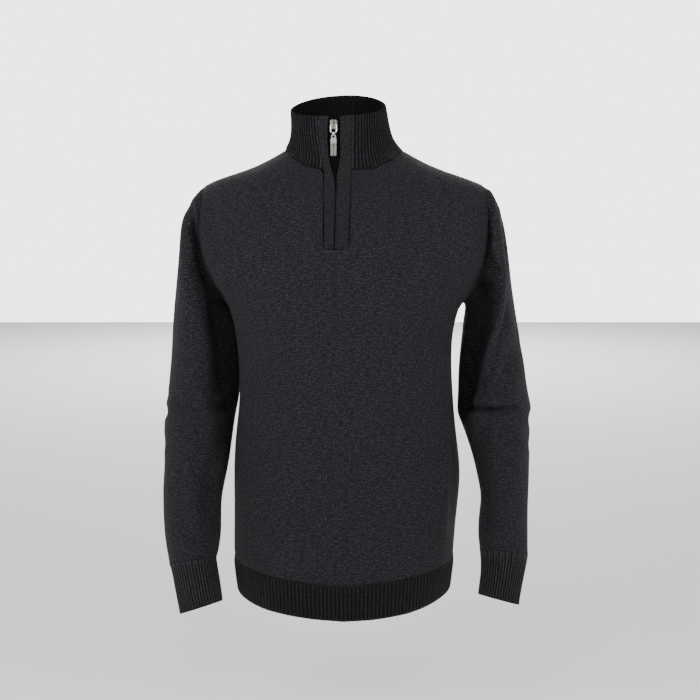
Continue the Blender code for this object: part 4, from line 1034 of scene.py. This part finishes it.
@dataclass
class Panel(ClothPiece):
    """Front or back of the body."""

    core: Spot | None = CORE

    neck_low = -0.043                   # the neckline lies above this height
    neck_reach = 0.098                  # and within this distance of the neck's middle line
    neck_under = 0.0014                 # how far it runs on under the collar
    neck_tuck = 0.0007                  # how far it is tucked behind the collar's face
    neck_aside = 0.004                  # and how far it stays away from the shoulder seam
    corner_reach = 0.090                # the same two sizes where the shoulder seams meet it
    corner_under = 0.0030
    corner_half = 0.006                 # half the width of a corner
    corner_across = (0.0990, 0.0905)    # distances across over which a corner is drawn up
    corner_low = -0.012                 # and the height above which it is
    seam_half = (0.0036, 0.0062)        # half widths over which the shoulder seam's part fades
    neck_half = (0.0080, 0.0120)        # and over which the neckline's part does
    seam_draw = (0.0028, 0.0016)        # how far the seam's end is drawn in, and up
    front_draw = (0.0024, 0.0015)       # the neckline beside it, on the front
    back_draw = (0.0016, 0.0008)        # and on the back
    slit_box = (-0.042, 0.018, -0.044)  # the slit's sides lie right of, left of and below these
    slit_face = -0.070                  # and in front of this

    def settle(self, mesh: Mesh) -> None:
        """Settle the panel, then draw the inner ends of its shoulder seams up to the collar.

        Args:
            mesh: The fine mesh.
        """
        super().settle(mesh)
        points = coordinates(mesh)
        edge = border(mesh)[0]
        x, y, z = points[edge].T
        near = smooth_step(*self.corner_across, np.abs(x)) * (z > self.corner_low)
        seam = 1.0 - smooth_step(*self.seam_half, np.abs(y))
        neck = (1.0 - seam) * (1.0 - smooth_step(*self.neck_half, np.abs(y)))
        inwards, upwards = self.front_draw if points[:, 1].mean() < 0.0 else self.back_draw
        points[edge, 0] -= np.sign(x) * near * (self.seam_draw[0] * seam + inwards * neck)
        points[edge, 1] -= y * near * seam
        points[edge, 2] += near * (self.seam_draw[1] * seam + upwards * neck)
        mesh.vertices.foreach_set("co", points.astype(np.float32).ravel())
        mesh.update()

    def seam_pull(self, points: Array, edge: Array) -> Array:
        """The armholes draw the panel in; its slit is sewn down along the bands.

        Args:
            points: The mesh's points.
            edge: Indices of those on its open edges.

        Returns:
            How far each point moves.
        """
        pull = Armhole().pull(points, edge)
        sewn = edge[self.beside_band(points[edge])]
        pull[sewn, 1] += SEWN_DEPTH * sewn_share(points[sewn, 2])
        neck = edge[self.at_neck(points[edge])]
        pull[neck, 1] -= self.neck_tuck * np.sign(points[neck, 1])
        return pull

    def let_out(self, edge: Array) -> Array:
        """The slit's sides stay open beside the bands; the neckline runs on under the collar.

        Args:
            edge: The edge's points.

        Returns:
            How far each is let out.
        """
        sewn = SEWN_OPEN * sewn_share(edge[:, 2])
        out = np.where(self.beside_band(edge), sewn, SEAM_CLOSE)
        out = np.where(self.at_neck(edge), self.neck_under, out)
        return np.where(self.at_corner(edge), self.corner_under, out)

    def at_neck(self, edge: Array) -> Array:
        """Which points of an edge lie along the neckline."""
        x, y, z = edge.T
        return (z > self.neck_low) & (np.hypot(x, y) < self.neck_reach) & (
            np.abs(y) > self.neck_aside)

    def at_corner(self, edge: Array) -> Array:
        """Which points of an edge lie where the shoulder seam meets the neckline."""
        x, y, z = edge.T
        return (z > self.neck_low) & (np.hypot(x, y) < self.corner_reach) & (
            np.abs(y) <= self.corner_half)

    def beside_band(self, edge: Array) -> Array:
        """Which points of an edge lie along the slit's sides.

        Args:
            edge: The edge's points.

        Returns:
            True for each that does.
        """
        left, right, top = self.slit_box
        x, y, z = edge.T
        return (x > left) & (x < right) & (z > SLIT_FOOT) & (z < top) & (y < self.slit_face)


@dataclass
class Sleeve(ClothPiece):
    """A sleeve, measured along the arm's middle line."""

    line: tuple[Spot, ...] = ()
    radius: float = 0.050

    def seam_pull(self, points: Array, edge: Array) -> Array:
        """The armhole draws the sleeve in."""
        return Armhole().pull(points, edge)

    def place_on_cloth(self, points: Array) -> tuple[Array, Array, float]:
        """Where points lie on the flat sleeve.

        Args:
            points: The mesh's points.

        Returns:
            Distance round the arm, along it, and round it once.
        """
        arm = nearest_on_line(points, np.array(self.line))
        turn = np.arctan2(arm.gap[:, 1], np.sign(self.line[0][0]) * arm.gap[:, 0])
        return self.radius * turn, -(arm.start + arm.t * arm.size), 2.0 * math.pi * self.radius


@dataclass
class RibBand(ClothPiece):
    """A ribbed hem, cuff or collar, whose ribs keep their height when it is smoothed."""

    sharp = math.pi                # the ribs' edges don't part its wall
    levels: int = 2
    wall: float = 0.0018
    core: Spot | None = CORE
    rib_rise: float = 0.0010       # how far a rib's crest or foot stands off its neighbours
    short_edge: float = 0.0046     # edges across the ribs are shorter than this
    centre: tuple[float, float] = (0.0, 0.0)
    radius: float = 0.070

    def prepare(self, skin: BMesh) -> None:
        """Raise each rib and note how high each point stands.

        Args:
            skin: The coarse skin.
        """
        rib = skin.verts.layers.float.new("rib")
        skin.normal_update()
        moves = {}
        for vert in skin.verts:
            beside = [edge.other_vert(vert) for edge in vert.link_edges
                      if edge.calc_length() < self.short_edge]
            vert[rib] = 0.5
            if len(beside) != 2:
                continue
            off = vert.co - 0.5 * (beside[0].co + beside[1].co)
            vert[rib] = min(1.0, max(0.0, 0.5 + 0.5 * off.dot(vert.normal) / self.rib_rise))
            moves[vert] = off
        for vert, off in moves.items():
            vert.co += off

    def drape(self, points: Array, normals: Array) -> Array:
        """A band is firmer than the plain knit, so it waves half as much."""
        return 0.5 * super().drape(points, normals)

    def place_on_cloth(self, points: Array) -> tuple[Array, Array, float]:
        """Distance round the band, measured from its back, and its height."""
        turn = np.arctan2(points[:, 0] - self.centre[0], points[:, 1] - self.centre[1])
        return self.radius * turn, points[:, 2], 0.0


@dataclass
class HemBand(RibBand):
    """The hem's front or back band."""

    top: tuple[float, float] = (-0.6031, -0.6031)   # heights of its top, middle and sides
    top_half = 0.16                                 # how far the sides are from the middle
    high = 0.0440                                   # the band's own height
    drop: tuple[tuple[float, ...], tuple[float, ...]] = ((0.0,), (0.0,))

    def seam_pull(self, points: Array, edge: Array) -> Array:
        """The lower edge hangs a little lower, in a rounder line than the solid's.

        Args:
            points: The mesh's points.
            edge: Indices of those on its open edges.

        Returns:
            How far each point moves.
        """
        top = np.interp(np.abs(points[:, 0]), (0.0, self.top_half), self.top)
        share = np.clip((top - points[:, 2]) / self.high, 0.0, 1.0)
        pull = np.zeros_like(points)
        pull[:, 2] -= share * np.interp(points[:, 0], *self.drop)
        return pull

    def place_on_cloth(self, points: Array) -> tuple[Array, Array, float]:
        """Distance round the hem from its own middle, and its height."""
        return ClothPiece.place_on_cloth(self, points)


@dataclass
class Cuff(RibBand):
    """A cuff, closed round the wrist."""

    core: Spot | None = None
    radius: float = 0.036

    def place_on_cloth(self, points: Array) -> tuple[Array, Array, float]:
        """Distance round the wrist, along it, and round it once."""
        across, along, _ = super().place_on_cloth(points)
        return across, along, 2.0 * math.pi * self.radius


@dataclass
class Band(ClothPiece):
    """One flat placket band, sewn down along its outer edge."""

    wall: float = 0.0018
    core: Spot | None = CORE
    side: Side = Side.LEFT

    width = 0.021              # distance from the zip over which the gap's shift fades
    slit_reach = 0.0065        # the zip's side of the band lies nearer to the zip than this
    side_top = -0.040          # its sewn side ends at this height

    def drape(self, points: Array, normals: Array) -> Array:
        """A sewn band stays flat."""
        return np.zeros_like(points)

    def seam_pull(self, points: Array, edge: Array) -> Array:
        """The outer edge is drawn in by its seam, and the inner one stands off the zip.

        Args:
            points: The mesh's points.
            edge: Indices of those on its open edges.

        Returns:
            How far each point moves.
        """
        pull = np.zeros_like(points)
        pull[edge, 1] += SEWN_DEPTH * sewn_share(points[edge, 2])
        share = np.clip(1.0 - self.from_zip(points) / self.width, 0.0, 1.0)
        pull[:, 0] += self.side.value * self.slit_gap(points[:, 2]) * share
        return pull

    def let_out(self, edge: Array) -> Array:
        """The band's sides stand back from their seams.

        Args:
            edge: The edge's points.

        Returns:
            How far each is let out.
        """
        above = edge[:, 2] > SLIT_FOOT
        side = above & (edge[:, 2] < self.side_top)
        at_slit = above & (self.from_zip(edge) < self.slit_reach)
        return np.where(side | at_slit, SEWN_OPEN, SEAM_CLOSE)

    def from_zip(self, points: Array) -> Array:
        """Distance of points from the zip's middle line, towards the band's own side."""
        middle = np.interp(points[:, 2], SLIT_HEIGHTS, SLIT_ACROSS)
        return self.side.value * (points[:, 0] - middle)

    def slit_gap(self, height: Array) -> Array:
        """How much further the band's edge stands back from the zip.

        Args:
            height: The points' heights.

        Returns:
            One distance for each height.
        """
        low = (-0.150, -0.066, -0.056, -0.049, -0.041, -0.034, -0.020)
        if self.side is Side.LEFT:
            return np.interp(height, (*low, 0.030), (0.0004, 0.0003, -0.0007, -0.0015, -0.0007,
                                                     0.0005, 0.0012, 0.0010))
        return np.interp(height, (*low, 0.034), (0.0004, 0.0003, -0.0007, -0.0015, -0.0006,
                                                 0.0010, 0.0042, 0.0042))

    def place_on_cloth(self, points: Array) -> tuple[Array, Array, float]:
        """Distance across the band and up it."""
        return points[:, 0], points[:, 2] + 0.6 * points[:, 1], 0.0


@dataclass
class ZipTape(Band):
    """Half of the zip's tape, behind the bands."""

    levels: int = 2
    wall: float = 0.0009

    def seam_pull(self, points: Array, edge: Array) -> Array:
        """The tape lies flat behind the bands."""
        return np.zeros_like(points)


# ---- sewing
def sewn_on(name: str, made: BMesh, finish: Knit | Metal) -> Object:
    """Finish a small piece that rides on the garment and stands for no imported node.

    Args:
        name: The piece's name.
        made: Its bmesh, which is used up.
        finish: Its finish.

    Returns:
        The finished object.
    """
    mesh = finished_mesh(name, made)
    mesh.shade_smooth()
    mesh.materials.append(finish.material())
    piece = stand(name, mesh)
    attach(piece, GARMENT)
    LOG.info("%s: %d faces", name, len(mesh.polygons))
    return piece


@dataclass
class EndLip:
    """The rolled edge of knit under the bands' lower ends."""

    finish: Knit
    left: float = -0.0325          # places across of its ends
    right: float = -0.0040
    height: float = -0.1534        # height of its middle
    face: float = -0.1215          # where the panel's face is, if it isn't found
    width: float = 0.0026
    rise: float = 0.0018
    steps: int = 24
    bow: float = 0.0008            # how much higher its ends lie than its middle
    below: float = 0.0012          # how far under its middle the panel is looked for
    proud: float = 0.0001          # how far it stands off the panel's face
    skirt: float = 0.0006          # how far its sides turn in
    turns = (-40, -5, 30, 60, 90, 120, 150, 185, 220)   # its section's corners, in degrees

    def build(self, front: Object) -> Object:
        """Lay the roll on the front panel.

        Args:
            front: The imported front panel.

        Returns:
            The finished object.
        """
        surface = BVHTree.FromPolygons([v.co for v in front.data.vertices],
                                       [tuple(f.vertices) for f in front.data.polygons])
        roll = bmesh.new()
        rings = []
        for k in range(self.steps + 1):
            share = k / self.steps
            x = self.left + share * (self.right - self.left)
            z = self.height + self.bow * (2.0 * share - 1.0) ** 2
            hit = surface.ray_cast(Vector((x, -0.3, z - self.below)), Vector((0.0, 1.0, 0.0)))[0]
            y = hit.y if hit else self.face
            taper = max(0.12, math.sin(math.pi * (0.04 + 0.92 * share)) ** 0.35)
            ring = []
            for turn in map(math.radians, self.turns):
                out = (taper * self.rise * math.sin(turn) + self.proud
                       - self.skirt * (1.0 - math.sin(turn)))
                up = 0.5 * taper * self.width * math.cos(turn)
                ring.append(roll.verts.new((x, y - out, z + up)))
            rings.append(ring)
        for near, far in zip(rings[:-1], rings[1:]):
            for a in range(len(near)):
                b = (a + 1) % len(near)
                roll.faces.new((near[a], near[b], far[b], far[a]))
        roll.faces.new(rings[0])
        roll.faces.new(rings[-1][::-1])
        bmesh.ops.recalc_face_normals(roll, faces=roll.faces)
        layer = roll.loops.layers.uv.new("cloth")
        for face in roll.faces:
            for loop in face.loops:
                loop[layer].uv = (loop.vert.co.z - 1.4 * loop.vert.co.y, loop.vert.co.x)
        return sewn_on("placket_end_lip", roll, self.finish)


# ---- zip
TEETH = Metal("blackened teeth", (0.020, 0.020, 0.022, 1.0), 0.30, (300.0, 300.0, 4000.0))


@dataclass
class ZipTeeth:
    """One side of the closed row of moulded teeth between the bands."""

    side: Side
    pitch: float = 0.0021
    size: Spot = (0.0019, 0.0014, 0.0011)
    apart: float = 0.35            # how far a tooth stands off the middle line, in its widths
    ahead: float = 0.0003          # how far it stands in front of the line
    chamfer: float = 0.00022
    line: tuple[Spot, ...] = (
        (-0.0127, -0.1198, -0.1485), (-0.0122, -0.1167, -0.1347), (-0.0118, -0.1130, -0.1179),
        (-0.0114, -0.1089, -0.1013), (-0.0107, -0.1041, -0.0849), (-0.0103, -0.0983, -0.0690),
        (-0.0110, -0.0895, -0.0545), (-0.0124, -0.0801, -0.0397), (-0.0127, -0.0769, -0.0314),
        (-0.0135, -0.0740, -0.0169), (-0.0146, -0.0708, 0.0097), (-0.0144, -0.0700, 0.0190),
    )

    def build(self) -> Object:
        """Make the row of teeth.

        Returns:
            The finished object.
        """
        marks = np.array(self.line)
        length = lengths(marks)
        count = int(length[-1] / self.pitch)
        row = bmesh.new()
        for k in range(count):
            at = (k + (0.25 if self.side is Side.LEFT else 0.75)) * self.pitch
            spot, ahead = (Vector([float(np.interp(place, length, marks[:, i])) for i in range(3)])
                           for place in (at, at + 0.001))
            along = (ahead - spot).normalized()
            across = Vector((self.side.value, 0.0, 0.0))
            out = across.cross(along).normalized() * self.side.value
            frame = Matrix((across, -out, along)).transposed().to_4x4()
            frame.translation = spot + across * self.apart * self.size[0]
            frame.translation += Vector((0.0, -self.ahead, 0.0))
            made = bmesh.ops.create_cube(row, size=1.0,
                                         matrix=frame @ Matrix.Diagonal((*self.size, 1.0)))
            edges = list({e for v in made["verts"] for e in v.link_edges})
            bmesh.ops.bevel(row, geom=edges, offset=self.chamfer, affect="EDGES",
                            segments=1, profile=0.5, material=-1)
        bmesh.ops.recalc_face_normals(row, faces=row.faces)
        return sewn_on("zip_teeth_" + self.side.name.lower(), row, TEETH)


@dataclass
class ZipMetal:
    """Slider, link and pull tab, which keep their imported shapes."""

    slider: Metal = Metal("slider plating", (0.88, 0.87, 0.84, 1.0), 0.20,
                          (2500.0, 2500.0, 500.0), bare=0.80, strip=-0.0140)
    link: Metal = Metal("link plating", (0.88, 0.87, 0.84, 1.0), 0.22,
                        (3200.0, 3200.0, 260.0), bare=0.75)
    tab: Metal = Metal("tab plating", (0.80, 0.78, 0.74, 1.0), 0.20, (3200.0, 3200.0, 260.0),
                       highlight_above=-0.0010, bare=0.80, strip=-0.0140)

    def dress(self, nodes: dict[str, Object]) -> None:
        """Give each metal node its finish.

        Args:
            nodes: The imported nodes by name.
        """
        finishes = {"zip_slider": self.slider, "zip_link": self.link, "zip_tab": self.tab}
        for name, finish in finishes.items():
            solid = nodes[name]
            if solid.data.materials:
                solid.material_slots[0].material = finish.material()
            else:
                solid.data.materials.append(finish.material())
            LOG.info("%s: dressed", name)


# ---- studio
@dataclass
class Studio:
    """Pale floor, soft light and the camera."""

    floor_z: float = -0.86
    lens: float = 44.6
    tilt: float = 1.05
    shift: float = -0.10
    front_glow: float = 0.13
    rear_glow: float = 3.6

    def build(self) -> None:
        """Set up the floor, the lights, the surroundings and the camera."""
        self.floor()
        self.surroundings()
        self.light("left", (-1.20, -1.00, 0.40), 0.7, 17.5)
        self.light("right", (1.20, -1.05, 0.38), 0.7, 15.8)
        self.light("front", (-0.20, -1.60, 1.10), 0.8, 5.0)
        self.light("rear", (0.00, 2.60, 1.30), 2.4, 5.0)
        self.light("floor", (0.00, 5.20, 2.40), 4.0, 330.0, (0.0, 5.60, -1.0))
        self.camera()

    def floor(self) -> None:
        """A wide pale floor under the garment."""
        ground = bmesh.new()
        bmesh.ops.create_grid(ground, x_segments=8, y_segments=8, size=9.0)
        bmesh.ops.translate(ground, verts=ground.verts, vec=(0.0, 0.0, self.floor_z))
        mesh = finished_mesh("studio_floor", ground)
        shader = Shader("studio floor")
        cloud = shader.noise(shader.on_object(), (1.5, 1.5, 1.5), 2.0)
        tone = shader.mix(cloud, (0.86, 0.86, 0.86, 1.0), (0.89, 0.89, 0.89, 1.0))
        shader.dress({"Base Color": tone, "Roughness": 0.9})
        mesh.materials.append(shader.material)
        stand(mesh.name, mesh)

    def surroundings(self) -> None:
        """White surroundings, brighter behind the garment than in front of it."""
        world = bpy.data.worlds.new("studio")
        bpy.context.scene.world = world
        world.use_nodes = True
        tree = world.node_tree
        back = tree.nodes["Background"]
        back.inputs["Color"].default_value = (1.0, 1.0, 1.0, 1.0)
        view = tree.nodes.new("ShaderNodeTexCoord")
        parts = tree.nodes.new("ShaderNodeSeparateXYZ")
        tree.links.new(view.outputs["Generated"], parts.inputs[0])
        ramp = tree.nodes.new("ShaderNodeMapRange")
        ramp.interpolation_type = "SMOOTHSTEP"
        tree.links.new(parts.outputs[1], ramp.inputs["Value"])
        ramp.inputs["From Min"].default_value = 0.30
        ramp.inputs["From Max"].default_value = 0.85
        ramp.inputs["To Min"].default_value = self.front_glow
        ramp.inputs["To Max"].default_value = self.rear_glow
        tree.links.new(ramp.outputs["Result"], back.inputs["Strength"])

    def light(self, name: str, place: Spot, size: float, power: float,
              target: Spot = (0.0, 0.0, -0.20)) -> None:
        """A square soft light.

        Args:
            name: The light's name.
            place: Where it stands.
            size: Length of its side in metres.
            power: Its watts.
            target: The point it is aimed at.
        """
        lamp = bpy.data.lights.new(name, "AREA")
        lamp.size = size
        lamp.energy = power
        held = stand(name, lamp)
        held.location = place
        aim = Vector(target) - Vector(place)
        held.rotation_euler = aim.to_track_quat("-Z", "Y").to_euler()

    def camera(self) -> None:
        """The camera, level with the chest."""
        lens = bpy.data.cameras.new("camera")
        lens.lens = self.lens
        lens.sensor_width = 36.0
        lens.shift_y = self.shift
        lens.clip_start = 0.05
        lens.clip_end = 60.0
        held = stand("camera", lens)
        held.location = EYE
        held.rotation_euler = (math.radians(90.0 - self.tilt), 0.0, 0.0)
        bpy.context.scene.camera = held


# ---- the garment
PLAIN = Knit("plain knit")
# lighter base, so that the ribs' crests read as painted highlight beside the painted shade in
# their troughs
RIBS = Knit("ribbed knit", ribbed=True, base=(0.0120, 0.0130, 0.0160, 1.0), fleck_share=0.70,
            trough=(0.44, 0.74))
# a darker copy of the rib knit: painted shade on the hem
SHADED_HEM_RIBS = Knit("hem rib knit", ribbed=True, base=(0.0058, 0.0061, 0.0072, 1.0), fleck_share=0.40)
# a lighter copy of the rib knit: painted light on the cuffs
LIT_CUFF_RIBS = Knit("cuff rib knit", ribbed=True, base=(0.0225, 0.0233, 0.0262, 1.0), fleck_share=1.0)
# a much lighter copy of the plain knit: painted highlight on the rolled edge
HIGHLIT_LIP = Knit("lip knit", base=(0.034, 0.035, 0.038, 1.0), fleck=(0.11, 0.11, 0.12, 1.0),
           fleck_share=0.6)
BANDS = Knit("band knit", base=(0.0150, 0.0158, 0.0186, 1.0), ladder=0.0022,
             fleck_share=0.80, wale=0.0016)

# The arms' middle lines, from the shoulder to the wrist.
RIGHT_ARM = ((0.196, 0.0, -0.100), (0.212, 0.004, -0.200), (0.221, 0.008, -0.310),
             (0.226, 0.004, -0.390), (0.233, -0.020, -0.470), (0.234, -0.048, -0.570),
             (0.230, -0.053, -0.600))
LEFT_ARM = ((-0.196, 0.0, -0.100), (-0.208, 0.010, -0.200), (-0.212, 0.022, -0.310),
            (-0.216, 0.006, -0.398), (-0.221, -0.024, -0.480), (-0.219, -0.050, -0.570),
            (-0.217, -0.056, -0.600))

# How much lower the hem hangs than its solid: places across, and by how much.
FRONT_DROP = ((-0.165, -0.110, -0.045, -0.020, 0.0, 0.018, 0.040, 0.090, 0.115, 0.135, 0.165),
              (0.0045, 0.0066, 0.0056, 0.0048, 0.0042, 0.0050, 0.0062, 0.0066, 0.0050, 0.0028,
               0.0010))
BACK_DROP = ((-0.165, 0.0, 0.165), (0.0045, 0.0042, 0.0010))


def cloth_pieces() -> list[ClothPiece]:
    """Every piece of cloth, from the body outwards.

    Returns:
        The pieces, not yet built.
    """
    tape = Tape()
    return [
        Panel("back", PLAIN, "knit", (0.50, 0.62), 0.277, creases=BACK_CREASES),
        Panel("front", PLAIN, "knit", (0.50, 0.62), 0.270, creases=FRONT_CREASES),
        Sleeve("sleeve_left", PLAIN, "knit", (0.35, 0.58), 0.149, creases=LEFT_SLEEVE_CREASES,
               line=LEFT_ARM),
        Sleeve("sleeve_right", PLAIN, "knit", (0.35, 0.58), 0.141, creases=RIGHT_SLEEVE_CREASES,
               line=RIGHT_ARM),
        HemBand("hem_back", SHADED_HEM_RIBS, "rib", (0.46, 0.046), 0.021, drop=BACK_DROP),
        HemBand("hem_front", SHADED_HEM_RIBS, "rib", (0.46, 0.046), 0.021, top=(-0.6111, -0.6031),
                drop=FRONT_DROP),
        RibBand("collar", RIBS, "rib", (0.42, 0.092), 0.034, centre=(-0.006, -0.004)),
        Cuff("cuff_left", LIT_CUFF_RIBS, "rib", (0.24, 0.062), 0.0144, centre=(-0.210, -0.064)),
        Cuff("cuff_right", LIT_CUFF_RIBS, "rib", (0.24, 0.062), 0.0143, centre=(0.227, -0.062)),
        Band("placket_left", BANDS, "band", (0.023, 0.205), 0.0033, side=Side.LEFT),
        Band("placket_right", BANDS, "band", (0.023, 0.205), 0.0042, side=Side.RIGHT),
        ZipTape("zip_tape_left", tape, "tape", (0.012, 0.205), 0.0024, side=Side.LEFT),
        ZipTape("zip_tape_right", tape, "tape", (0.012, 0.205), 0.0024, side=Side.RIGHT),
    ]


def main() -> None:
    """Load the frame, dress every piece and set up the studio."""
    logging.basicConfig(level=logging.INFO, format="%(message)s")
    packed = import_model()
    for piece in cloth_pieces():
        piece.build(packed["nodes"])
    EndLip(HIGHLIT_LIP).build(packed["nodes"]["front"])
    for side in Side:
        ZipTeeth(side).build()
    ZipMetal().dress(packed["nodes"])
    Studio().build()


if __name__ == "__main__":
    main()
